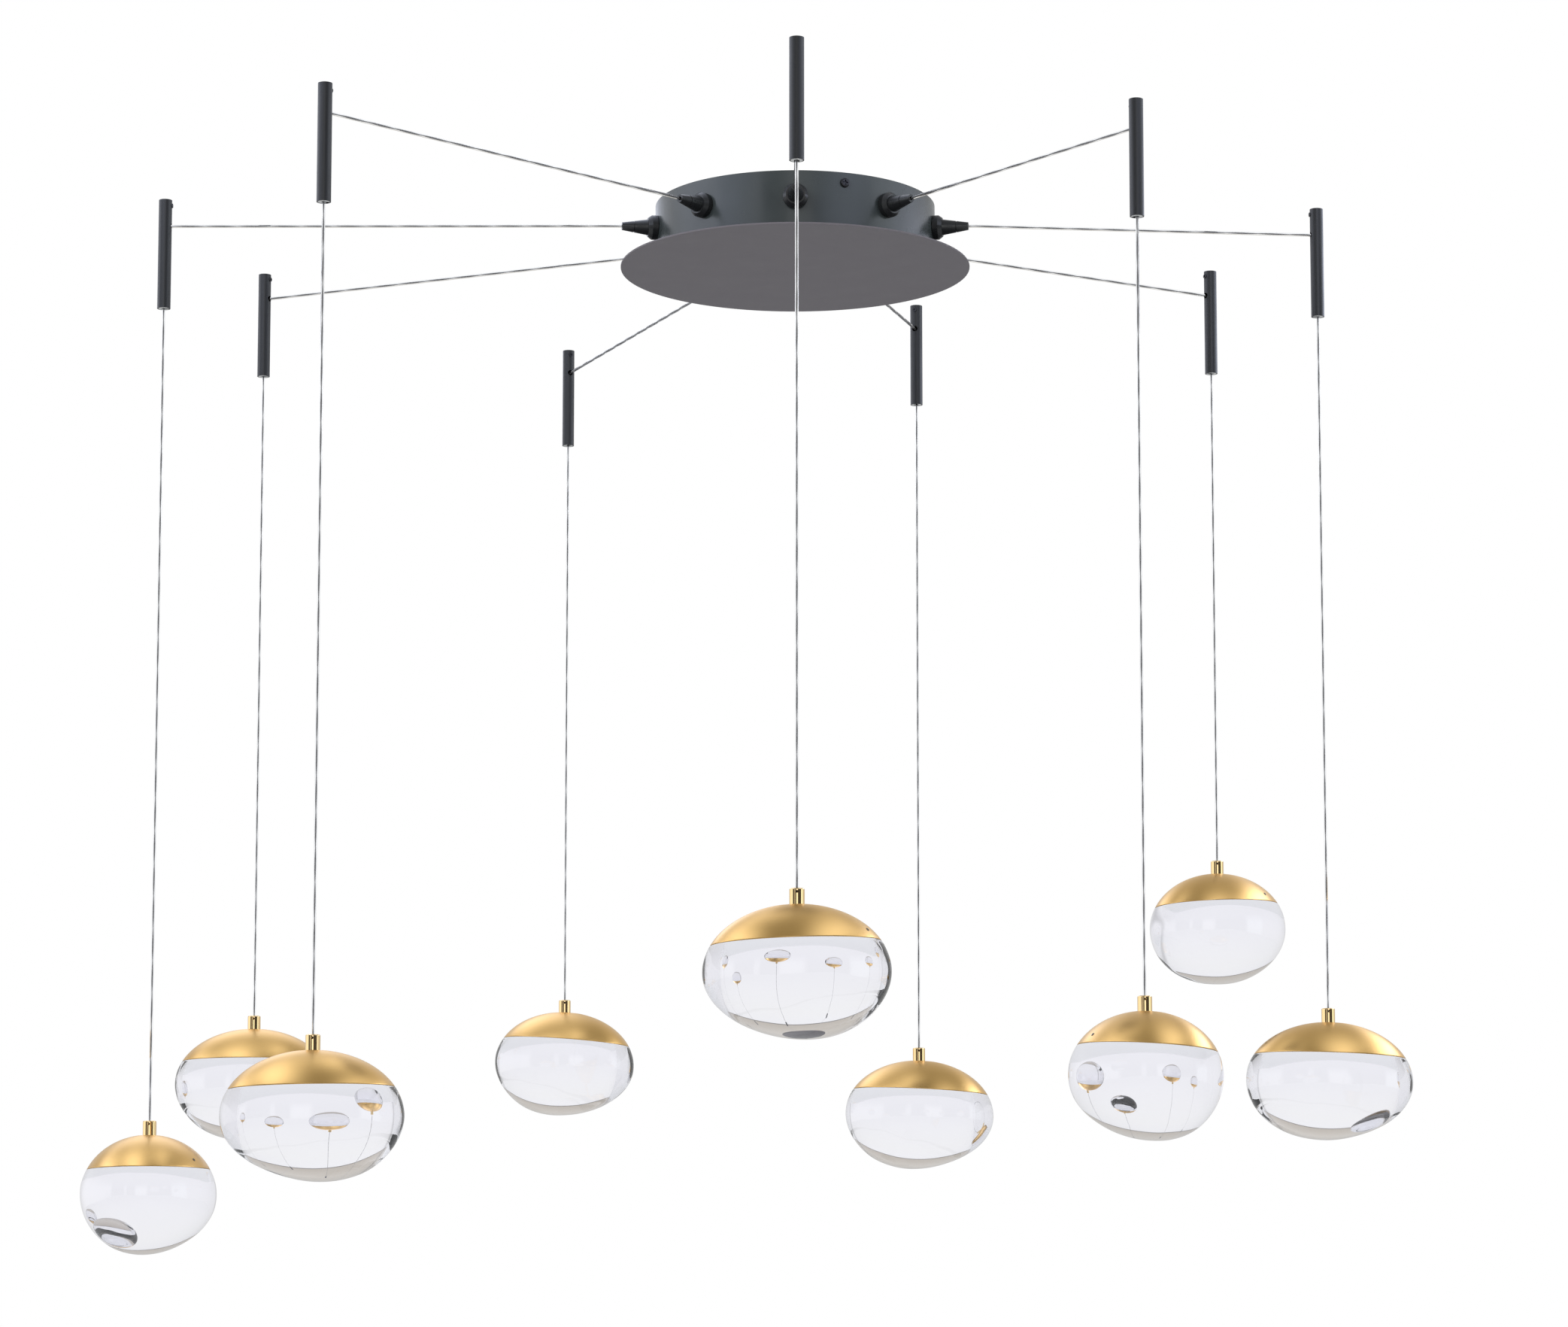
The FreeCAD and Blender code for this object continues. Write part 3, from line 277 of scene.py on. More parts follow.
def skin(grid, loop=False, ends=(False, False)):
    """Faces over rings of points: each row is a closed ring, joined square to the next row.

    loop joins the last row to the first, and an end that is asked for is closed by a fan about
    its ring's middle. Gives the points, the four-sided faces, the fans and the corner places.
    """
    rows, columns = grid.shape[:2]
    index = np.arange(rows * columns).reshape(rows, columns)
    beside = np.roll(index, -1, axis=1)
    low, high = slice(0, rows if loop else rows - 1), slice(1, rows)
    upper = np.roll(index, -1, axis=0)[low] if loop else index[high]
    upper_beside = np.roll(beside, -1, axis=0)[low] if loop else beside[high]
    quads = np.stack([index[low], beside[low], upper_beside, upper], axis=-1).reshape(-1, 4)
    points = [grid.reshape(-1, 3)]
    fans = []
    for wanted, row, turned in ((ends[0], 0, True), (ends[1], rows - 1, False)):
        if wanted:
            hub = sum(len(part) for part in points)
            points.append(grid[row].mean(axis=0, keepdims=True))
            fan = np.stack([index[row], beside[row], np.full(columns, hub)], axis=-1)
            fans.append(fan[:, ::-1] if turned else fan)
    column, row = np.meshgrid(np.arange(columns), np.arange(quads.shape[0] // columns))
    steps = np.array([[0, 0], [1, 0], [1, 1], [0, 1]])
    corners = np.stack([column, row], axis=-1).reshape(-1, 1, 2) + steps
    corners = corners / np.array([columns, max(rows - 1, 1)])
    return np.concatenate(points), quads, fans, corners


def make_piece(name, parts, material, uv=False, smooth=True, own=None):
    """One object from several skins, in millimetres, at the origin with its place in its mesh."""
    points, faces, corners = [], [], []
    start = 0
    for part_points, quads, fans, part_corners in parts:
        points.append(part_points)
        faces += (quads + start).tolist()
        corners.append(part_corners.reshape(-1, 2))
        for fan in fans:
            faces += (fan + start).tolist()
            corners.append(np.zeros((fan.size, 2)))
        start += len(part_points)
    mesh = bpy.data.meshes.new(name)
    mesh.from_pydata((np.concatenate(points) * MM).tolist(), [], faces)
    mesh.polygons.foreach_set("use_smooth", np.full(len(mesh.polygons), smooth))
    if uv:
        layer = mesh.uv_layers.new(name="along")
        layer.data.foreach_set("uv", np.concatenate(corners).astype(np.float32).ravel())
    if own is not None:
        layer = mesh.attributes.new("own_place", "FLOAT_VECTOR", "POINT")
        layer.data.foreach_set("vector", own.astype(np.float32).ravel())
    mesh.materials.append(material)
    mesh.update()
    piece = bpy.data.objects.new(name, mesh)
    bpy.context.scene.collection.objects.link(piece)
    return piece


def turns_of(count):
    """Equal turns round a circle, from the back."""
    return math.pi / 2 + np.arange(count) * 2 * math.pi / count


def oval_rings(halves_x, halves_y, heights, count):
    """Rings: each has its two half widths and its height, all measured in one frame."""
    turn = turns_of(count)
    return np.stack([
        np.outer(halves_x, np.cos(turn)), np.outer(halves_y, np.sin(turn)),
        np.outer(heights, np.ones(count))], axis=-1)


def placed(points, middle, matrix):
    """Points turned by a matrix and then moved."""
    return points @ matrix.T + middle


# Finishes.

class Finish:
    """A new material with one Principled shader, and short ways to add and join nodes."""

    def __init__(self, name, colour, roughness, **sockets):
        self.material = bpy.data.materials.new(name)
        self.material.use_nodes = True
        self.nodes = self.material.node_tree.nodes
        self.shader = self.nodes["Principled BSDF"]
        self.shader.inputs["Base Color"].default_value = (*colour, 1)
        self.shader.inputs["Roughness"].default_value = roughness
        for socket, level in sockets.items():
            self.shader.inputs[socket.replace("_", " ")].default_value = level
        self.material.diffuse_color = (*colour, 1)

    def add(self, kind, inputs=(), **settings):
        """A new node with its settings, and with a link or a value for each input named."""
        node = self.nodes.new(kind)
        for setting, level in settings.items():
            setattr(node, setting, level)
        for socket, level in dict(inputs).items():
            if isinstance(level, bpy.types.NodeSocket):
                self.join(level, node.inputs[socket])
            else:
                node.inputs[socket].default_value = level
        return node

    def join(self, out, into):
        """Link one node's output to another's input."""
        self.material.node_tree.links.new(out, into)

    def place(self):
        """The piece's own coordinates in the row frame."""
        return self.add("ShaderNodeTexCoord").outputs["Object"]

    def stretched(self, vector, factors):
        """Coordinates times a factor for each axis."""
        node = self.add("ShaderNodeVectorMath", {0: vector, 1: factors}, operation="MULTIPLY")
        return node.outputs["Vector"]

    def noise(self, vector, scale, detail=2.0, roughness=0.5):
        """Soft noise over coordinates, from 0 to 1."""
        node = self.add("ShaderNodeTexNoise", {
            "Vector": vector, "Scale": scale, "Detail": detail, "Roughness": roughness})
        return node.outputs["Fac"]

    def between(self, noise, low, high):
        """A number that goes from low to high with a noise."""
        node = self.add("ShaderNodeMapRange", {
            "Value": noise, "From Min": NOISE_LOW, "From Max": NOISE_HIGH, "To Min": low,
            "To Max": high})
        return node.outputs["Result"]

    def colour_between(self, share, low, high):
        """A colour that goes from low to high with a share from 0 to 1."""
        node = self.add("ShaderNodeMix", data_type="RGBA")
        self.join(share, node.inputs["Factor"])
        node.inputs["A"].default_value = (*low, 1)
        node.inputs["B"].default_value = (*high, 1)
        return node.outputs["Result"]

    def bump(self, height, strength, distance):
        """Relief on the shader's normal, its distance in metres."""
        node = self.add("ShaderNodeBump", {
            "Height": height, "Strength": strength, "Distance": distance})
        self.join(node.outputs["Normal"], self.shader.inputs["Normal"])


def scaled(colour, factor):
    """A colour made lighter or darker."""
    return tuple(min(1.0, part * factor) for part in colour)


def powder_coat(name, colour, roughness, grain, strength):
    """Baked powder coat: fine orange peel and slightly uneven gloss."""
    finish = Finish(name, colour, roughness, Specular_IOR_Level=0.5)
    place = finish.place()
    cloudy = finish.noise(place, scale=35.0, detail=3.0)
    finish.join(finish.colour_between(cloudy, scaled(colour, 0.86), scaled(colour, 1.14)),
                finish.shader.inputs["Base Color"])
    finish.join(finish.between(cloudy, roughness - 0.04, roughness + 0.05),
                finish.shader.inputs["Roughness"])
    finish.bump(finish.noise(place, grain, detail=1.0), strength, distance=0.00006)
    return finish.material


def moulded_nylon(name, colour, roughness):
    """Moulded nylon: a soft gloss with a faint mould grain."""
    finish = Finish(name, colour, roughness)
    place = finish.place()
    cloudy = finish.noise(place, scale=120.0, detail=3.0)
    finish.join(finish.between(cloudy, roughness - 0.06, roughness + 0.08),
                finish.shader.inputs["Roughness"])
    grain = finish.noise(place, scale=2200.0, detail=1.0)
    finish.bump(grain, strength=0.12, distance=0.00004)
    return finish.material


def plated_steel(name, colour, roughness):
    """Zinc plated or blackened steel, a little cloudy."""
    finish = Finish(name, colour, roughness, Metallic=1.0)
    cloudy = finish.noise(finish.place(), scale=90.0, detail=4.0)
    finish.join(finish.colour_between(cloudy, scaled(colour, 0.8), scaled(colour, 1.1)),
                finish.shader.inputs["Base Color"])
    finish.join(finish.between(cloudy, roughness - 0.08, roughness + 0.1),
                finish.shader.inputs["Roughness"])
    return finish.material


def brushed_gold(name, colour):
    """Satin gold, brushed round the cap: level streaks that spread a reflection up and down."""
    finish = Finish(name, colour, 0.26, Metallic=1.0, Anisotropic=0.6, Anisotropic_Rotation=0.25)
    own = finish.add("ShaderNodeAttribute", attribute_name="own_place").outputs["Vector"]
    streaks = finish.noise(finish.stretched(own, GOLD_STREAKS), scale=1.0, detail=4.0,
                           roughness=0.65)
    cloudy = finish.noise(finish.stretched(own, GOLD_CLOUDS), scale=1.0, detail=2.0)
    finish.join(finish.colour_between(streaks, scaled(colour, 0.94), scaled(colour, 1.06)),
                finish.shader.inputs["Base Color"])
    both = finish.add("ShaderNodeMath", {0: streaks, 1: cloudy}, operation="ADD")
    half = finish.add("ShaderNodeMath", {0: both.outputs[0], 1: 0.5}, operation="MULTIPLY")
    finish.join(finish.between(half.outputs[0], 0.30, 0.38), finish.shader.inputs["Roughness"])
    finish.bump(streaks, strength=0.06, distance=0.00003)
    tangent = finish.add("ShaderNodeTangent", direction_type="UV_MAP", uv_map="along")
    finish.join(tangent.outputs["Tangent"], finish.shader.inputs["Tangent"])
    return finish.material


def polished_gold(name, colour, roughness=0.07):
    """Polished gold with faint hairlines."""
    finish = Finish(name, colour, roughness, Metallic=1.0)
    hairs = finish.noise(finish.place(), scale=900.0, detail=3.0)
    finish.join(finish.between(hairs, roughness - 0.02, roughness + 0.04),
                finish.shader.inputs["Roughness"])
    return finish.material


def clear_glass(name, tint):
    """Solid clear glass, with slow waves left by hand forming."""
    finish = Finish(name, tint, 0.0, Transmission_Weight=1.0, IOR=1.5)
    waves = finish.noise(finish.place(), scale=14.0, detail=1.0)
    finish.bump(waves, strength=0.05, distance=0.004)
    return finish.material


def clear_jacket(name):
    """Clear plastic jacket of the cables."""
    finish = Finish(name, (0.93, 0.94, 0.95), 0.04, Transmission_Weight=1.0, IOR=1.45)
    ripples = finish.noise(finish.place(), scale=260.0, detail=2.0)
    finish.bump(ripples, strength=0.04, distance=0.0002)
    return finish.material


def silver_strands(name, colour):
    """Drawn silver wire of the cable's core."""
    finish = Finish(name, colour, 0.34, Metallic=0.85)
    worn = finish.noise(finish.place(), scale=320.0, detail=3.0)
    finish.join(finish.colour_between(worn, scaled(colour, 0.75), scaled(colour, 1.15)),
                finish.shader.inputs["Base Color"])
    return finish.material


def die_cast(name, colour):
    """Die cast aluminium with its grainy skin."""
    finish = Finish(name, colour, 0.5, Metallic=0.6)
    grain = finish.noise(finish.place(), scale=700.0, detail=3.0)
    finish.bump(grain, strength=0.3, distance=0.0001)
    return finish.material


def dress(material, slot, *names):
    """Give CAD nodes a finish."""
    for name in names:
        node = NODES[name]
        for place in node.material_slots:
            place.material = material


# Cables.

def cable_curve(name, route, diameter, material):
    """A smooth cable with the route's points, in millimetres, as its control points."""
    curve = bpy.data.curves.new(name, "CURVE")
    curve.dimensions = "3D"
    curve.resolution_u = CURVE_STEPS
    spline = curve.splines.new("NURBS")
    spline.points.add(len(route) - 1)
    spline.points.foreach_set("co", np.c_[np.array(route) * MM, np.ones(len(route))].ravel())
    spline.order_u = 3
    spline.use_endpoint_u = True
    curve.materials.append(material)
    piece = bpy.data.objects.new(name, curve)
    bpy.context.scene.collection.objects.link(piece)
    bpy.context.view_layer.update()
    line = bpy.data.meshes.new_from_object(piece)
    path = np.zeros(len(line.vertices) * 3, np.float32)
    line.vertices.foreach_get("co", path)
    bpy.data.meshes.remove(line)
    curve.bevel_depth = diameter / 2
    curve.bevel_resolution = JACKET_ROUNDING
    curve.use_fill_caps = True
    return piece, path.reshape(-1, 3).astype(float) / MM


def core_strands(name, path, side, sizes, material):
    """Two strands laid round each other along a cable.

    The path is divided into equal steps. At each step a strand's middle goes round the path by
    one turn in each lay length, and its section is a ring about that middle, square to the path.
    """
    steps = np.r_[0, np.cumsum(np.linalg.norm(np.diff(path, axis=0), axis=1))]
    lay, thickness = sizes.lay / MM, sizes.strand / MM
    count = int(steps[-1] / STRAND_STEP)
    along = np.linspace(STRAND_STOP, steps[-1] - STRAND_STOP, count)
    middle = np.stack([np.interp(along, steps, path[:, axis]) for axis in range(3)], axis=1)
    ahead = np.gradient(middle, axis=0)
    ahead /= np.linalg.norm(ahead, axis=1, keepdims=True)
    right = side - (ahead @ side)[:, None] * ahead
    right /= np.linalg.norm(right, axis=1, keepdims=True)
    up = np.cross(ahead, right)
    parts = []
    for half_turn in (0.0, math.pi):
        turn = (along / lay * 2 * math.pi + half_turn)[:, None]
        strand = middle + (np.cos(turn) * right + np.sin(turn) * up) * thickness * 0.5
        section = turns_of(STRAND_SIDES)[None, :, None]
        ring = (np.cos(section) * right[:, None] + np.sin(section) * up[:, None]) * thickness / 2
        parts.append(skin(strand[:, None] + ring, ends=(True, True)))
    return make_piece(name, parts, material)


def run_route(number):
    """A cable's route from its terminal to its tube's mouth, as in the part's source."""
    drop = DROPS[number - 1]
    gland, bearing = math.radians(drop["gland"]), math.radians(drop["bearing"])
    level = np.array([0, 0, -CABLE_LEVEL])
    away = np.array([math.sin(gland), -math.cos(gland), 0])
    tube = np.array([math.sin(bearing), -math.cos(bearing), 0]) * drop["reach"]
    mouth = away * MOUTH_REACH
    outward = (tube - mouth) / np.linalg.norm(tube - mouth)
    route = [away * TERMINAL_REACH + level]
    if drop["gland"] != drop["bearing"]:
        route += [away * (MOUTH_REACH - BEND_LEAD) + level, mouth + level,
                  mouth + outward * BEND_LEAD + level]
    route += [tube - outward * BEND_LEAD + level, tube + level,
              tube + level - np.array([0, 0, BEND_LEAD]), tube - np.array([0, 0, RUN_FOOT])]
    return route, np.cross(outward, [0, 0, 1.0])


def drop_route(number):
    """A drop's plumb cable from its tube's mouth down into the ferrule."""
    drop = DROPS[number - 1]
    bearing = math.radians(drop["bearing"])
    tube = np.array([math.sin(bearing), -math.cos(bearing), 0]) * drop["reach"]
    foot = drop["depth"] + FERRULE_GRIP
    return [tube - np.array([0, 0, level]) for level in
            (DROP_TOP, DROP_TOP + BEND_LEAD, foot - BEND_LEAD, foot)]


# Operators, one for each piece or group of like pieces.

class PENDANT_OT_canopy(bpy.types.Operator):
    """Finish the canopy: ring, cover, screws and what is inside"""
    bl_idname = "pendant.canopy"
    bl_label = "Canopy"

    def execute(self, context):
        colours = context.scene.pendant_colours
        ring = powder_coat("ring_coat", colours.ring, roughness=0.24, grain=1400.0, strength=0.15)
        cover = powder_coat("cover_coat", colours.cover, roughness=0.55, grain=1100.0,
                            strength=0.35)
        black = plated_steel("black_screw", (0.06, 0.06, 0.065), roughness=0.35)
        zinc = plated_steel("zinc_plate", (0.62, 0.62, 0.60), roughness=0.38)
        plastic = moulded_nylon("driver_plastic", (0.75, 0.75, 0.74), roughness=0.45)
        dress(ring, "black_metal", "canopy_ring")
        dress(cover, "cover_metal", "canopy_cover")
        dress(black, "screw_metal", "canopy_screws", "tube_grub_screws")
        dress(zinc, "zinc_steel", "ceiling_bracket", "cover_nuts", "hub_plate", "tube_bases")
        dress(plastic, "driver_case", "led_driver")
        return {"FINISHED"}


class PENDANT_OT_glands(bpy.types.Operator):
    """Finish the nine cable glands, their lock nuts and the terminals"""
    bl_idname = "pendant.glands"
    bl_label = "Cable glands"

    def execute(self, context):
        colours = context.scene.pendant_colours
        black = moulded_nylon("gland_nylon", colours.nylon, roughness=0.3)
        pale = moulded_nylon("pale_nylon", (0.62, 0.63, 0.62), roughness=0.4)
        dress(black, "gland_nylon", "cable_glands", "gland_nuts")
        dress(pale, "pale_nylon", "terminal_blocks", "tube_end_plugs")
        return {"FINISHED"}


class PENDANT_OT_tubes(bpy.types.Operator):
    """Finish the nine ceiling tubes"""
    bl_idname = "pendant.tubes"
    bl_label = "Ceiling tubes"

    def execute(self, context):
        colours = context.scene.pendant_colours
        coat = powder_coat("tube_coat", colours.tube, roughness=0.36, grain=1800.0, strength=0.2)
        dress(coat, "tube_metal", "ceiling_tubes")
        return {"FINISHED"}


class PENDANT_OT_cables(bpy.types.Operator):
    """Make the taut and the hanging cables: a clear jacket over two silver strands"""
    bl_idname = "pendant.cables"
    bl_label = "Cables"

    def execute(self, context):
        sizes = context.scene.pendant_sizes
        jacket = clear_jacket("clear_jacket")
        silver = silver_strands("silver_strands", context.scene.pendant_colours.silver)
        for number in range(1, len(DROPS) + 1):
            route, side = run_route(number)
            self.lay_cable("cable_run_%d" % number, route, side, "root", "cable_runs", sizes,
                           jacket, silver)
            self.lay_cable("drop_cord_%d" % number, drop_route(number), np.array([1.0, 0, 0]),
                           "drop_%d" % number, "drop_cable_%d" % number, sizes, jacket, silver)
        return {"FINISHED"}

    def lay_cable(self, name, route, side, body, node, sizes, jacket, silver):
        """One taut length of cable and its core, in the place of a CAD node."""
        piece, path = cable_curve(name, route, sizes.jacket, jacket)
        core = core_strands(name + "_core", path, side, sizes, silver)
        for part in (piece, core):
            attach(part, body)
            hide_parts(node)


def dome_profile(inset, low, high, count):
    """Half widths and heights of a drop's form, made smaller by an inset, between two heights.

    The form is an ellipsoid: at the sine s of its height, both half widths are the cosine's share
    of the greatest ones.
    """
    half_height = HALF_HEIGHT - inset
    angle = np.linspace(math.asin(low / half_height), math.asin(high / half_height), count)
    return ((HALF_LENGTH - inset) * np.cos(angle), (HALF_WIDTH - inset) * np.cos(angle),
            half_height * np.sin(angle))


class PENDANT_OT_caps(bpy.types.Operator):
    """Make the nine brushed caps, with their set screws"""
    bl_idname = "pendant.caps"
    bl_label = "Caps"

    def execute(self, context):
        gold = brushed_gold("brushed_gold", context.scene.pendant_colours.gold)
        steel = plated_steel("set_screw_steel", (0.20, 0.18, 0.15), roughness=0.3)
        radius = context.scene.pendant_sizes.cap_screw / 2 / MM
        for number in range(1, len(DROPS) + 1):
            for part in (self.cap(number, gold), self.set_screw(number, radius, steel)):
                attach(part, "pendant_%d" % number)
                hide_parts("glass_cap_%d" % number)
        return {"FINISHED"}

    def set_screw(self, number, radius, steel):
        """The socket set screw near a cap's rim: rings about the cap's outward direction."""
        middle, matrix = drop_frame(number)
        turn = math.radians(CAP_SCREW_TURNS[number - 1] - DROPS[number - 1]["turn"])
        height = RIM + CAP_SCREW_RISE
        rise = height / HALF_HEIGHT
        level = math.sqrt(1 - rise * rise)
        place = np.array([HALF_LENGTH * level * math.cos(turn),
                          HALF_WIDTH * level * math.sin(turn), height])
        out = place / np.array([HALF_LENGTH, HALF_WIDTH, HALF_HEIGHT]) ** 2
        out /= np.linalg.norm(out)
        side = np.cross((0.0, 0.0, 1.0), out)
        side /= np.linalg.norm(side)
        up = np.cross(out, side)
        shares, ways_out = np.array(CAP_SCREW_SECTION).T[..., None, None]
        across = turns_of(CAP_SCREW_SIDES)
        ring = np.outer(np.cos(across), side) + np.outer(np.sin(across), up)
        points = place + ways_out * out + shares * radius * ring
        part = skin(placed(points.reshape(-1, 3), middle, matrix).reshape(points.shape),
                    ends=(True, True))
        return make_piece("cap_set_screw_%d" % number, [part], steel, smooth=False)

    def cap(self, number, gold):
        """A dome from its rim up to the ferrule's hole, over the edge and back inside.

        Its outside is the drop's ellipsoid, its top is cut level under the ferrule, and near the
        hole its rings turn from the oval of the form to the round of the hole.
        """
        middle, matrix = drop_frame(number)
        outer = dome_profile(0.0, RIM + CAP_EDGE, DOME_TOP, CAP_RINGS)
        inner = dome_profile(CAP_WALL, DOME_TOP - CAP_WALL - CAP_TOP_SHORT, RIM, CAP_INNER_RINGS)
        halves_x, halves_y = (
            np.r_[outside, SPIGOT_HOLE, SPIGOT_HOLE, inside, inside[-1] + CAP_FOOT,
                  outside[0] - CAP_EDGE, outside[0] - CAP_EDGE_IN]
            for outside, inside in zip(outer[:2], inner[:2]))
        heights = np.r_[outer[2], HALF_HEIGHT, HALF_HEIGHT - CAP_WALL, inner[2], RIM, RIM,
                        RIM + CAP_EDGE_UP]
        own = oval_rings(halves_x, halves_y, heights, CAP_POINTS)
        points = placed(own.reshape(-1, 3), middle, matrix).reshape(own.shape)
        seat = middle[2] + SEAT_RISE
        points[..., 2] = np.minimum(points[..., 2], seat)
        turn = turns_of(CAP_POINTS) + math.radians(DROPS[number - 1]["turn"])
        for ring, level in ((CAP_RINGS, seat), (CAP_RINGS + 1, seat - CAP_WALL)):
            points[ring] = np.stack([middle[0] + SPIGOT_HOLE * np.cos(turn),
                                     middle[1] + SPIGOT_HOLE * np.sin(turn),
                                     np.full(turn.shape, level)], axis=-1)
        part = skin(points, loop=True)
        return make_piece("cap_shell_%d" % number, [part], gold, uv=True, own=own.reshape(-1, 3))


class PENDANT_OT_ferrules(bpy.types.Operator):
    """Finish the polished ferrules and the light engines"""
    bl_idname = "pendant.ferrules"
    bl_label = "Ferrules"

    def execute(self, context):
        polished = polished_gold("polished_gold", context.scene.pendant_colours.polished)
        cast = die_cast("cast_aluminium", (0.55, 0.53, 0.5))
        for number in range(1, len(DROPS) + 1):
            dress(polished, "ferrule_gold", "ferrule_%d" % number)
            dress(cast, "engine_aluminium", "light_engine_%d" % number)
        return {"FINISHED"}


class PENDANT_OT_glass(bpy.types.Operator):
    """Make the nine solid glass drops with their waves and raised undersides"""
    bl_idname = "pendant.glass"
    bl_label = "Glass"

    def execute(self, context):
        material = clear_glass("clear_glass", context.scene.pendant_colours.glass)
        for number in range(1, len(DROPS) + 1):
            parts = [self.drop(number, context.scene.pendant_sizes.wave / MM)]
            glass = make_piece("glass_drop_%d" % number, parts, material)
            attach(glass, "pendant_%d" % number)
            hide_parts("glass_%d" % number)
        return {"FINISHED"}

    def drop(self, number, height):
        """An ellipsoid cut level at the cap, with a round recess on top.

        Every point of the outside moves out by a sum of slow waves over the surface, which fade
        towards the cap. Then the lower half is raised towards one side, as the way out to that
        side times the square of the way down.
        """
        middle, matrix = drop_frame(number)
        level = RIM - GLASS_GAP
        low = dome_profile(0.0, -HALF_HEIGHT * GLASS_FOOT, level - GLASS_EDGE, GLASS_RINGS)
        recess = [LAMP_RECESS + RECESS_LIP, LAMP_RECESS, LAMP_RECESS,
                  LAMP_RECESS - RECESS_CORNER, *RECESS_RINGS]
        halves_x, halves_y = (
            np.r_[side, side[-1] - GLASS_EASE[0], side[-1] - GLASS_EASE[1], land, recess]
            for side, land in zip(low[:2], GLASS_LAND))
        heights = np.r_[low[2], level - GLASS_EASE_DOWN, level, level, level, level - RECESS_LIP,
                        level - LAMP_RECESS_DEPTH + RECESS_CORNER,
                        np.full(3, level - LAMP_RECESS_DEPTH)]
        own = oval_rings(halves_x, halves_y, heights, GLASS_POINTS)
        waves = self.waves(number, own)
        body = np.arange(own.shape[0]) < GLASS_RINGS
        fade = np.clip((RIM - FADE_START - own[..., 2:]) / FADE_LENGTH, 0, 1)
        fade = fade * body[:, None, None]
        fade = fade * fade * (3 - 2 * fade)
        out = own / np.array([HALF_LENGTH, HALF_WIDTH, HALF_HEIGHT]) ** 2
        out /= np.linalg.norm(out, axis=-1, keepdims=True)
        shaped = own + out * waves[..., None] * fade * height
        points = placed(shaped.reshape(-1, 3), middle, matrix).reshape(own.shape)
        across, down = points[..., 0] - middle[0], np.minimum(points[..., 2] - middle[2], 0)
        points[..., 2] += RAISED[number - 1] * across / HALF_LENGTH * down ** 2 / HALF_HEIGHT
        return skin(points, ends=(True, True))

    def waves(self, number, own):
        """A sum of slow sine waves over the surface, mostly from -1 to 1."""
        random = np.random.default_rng(WAVE_SEED + number)
        total = np.zeros(own.shape[:2])
        for length, share in WAVES:
            for _ in range(WAVES_EACH):
                way = random.normal(size=3)
                way *= 2 * math.pi / length / np.linalg.norm(way)
                total += share * np.sin(own @ way + random.uniform(0, 2 * math.pi)) / WAVE_SUM
        return total


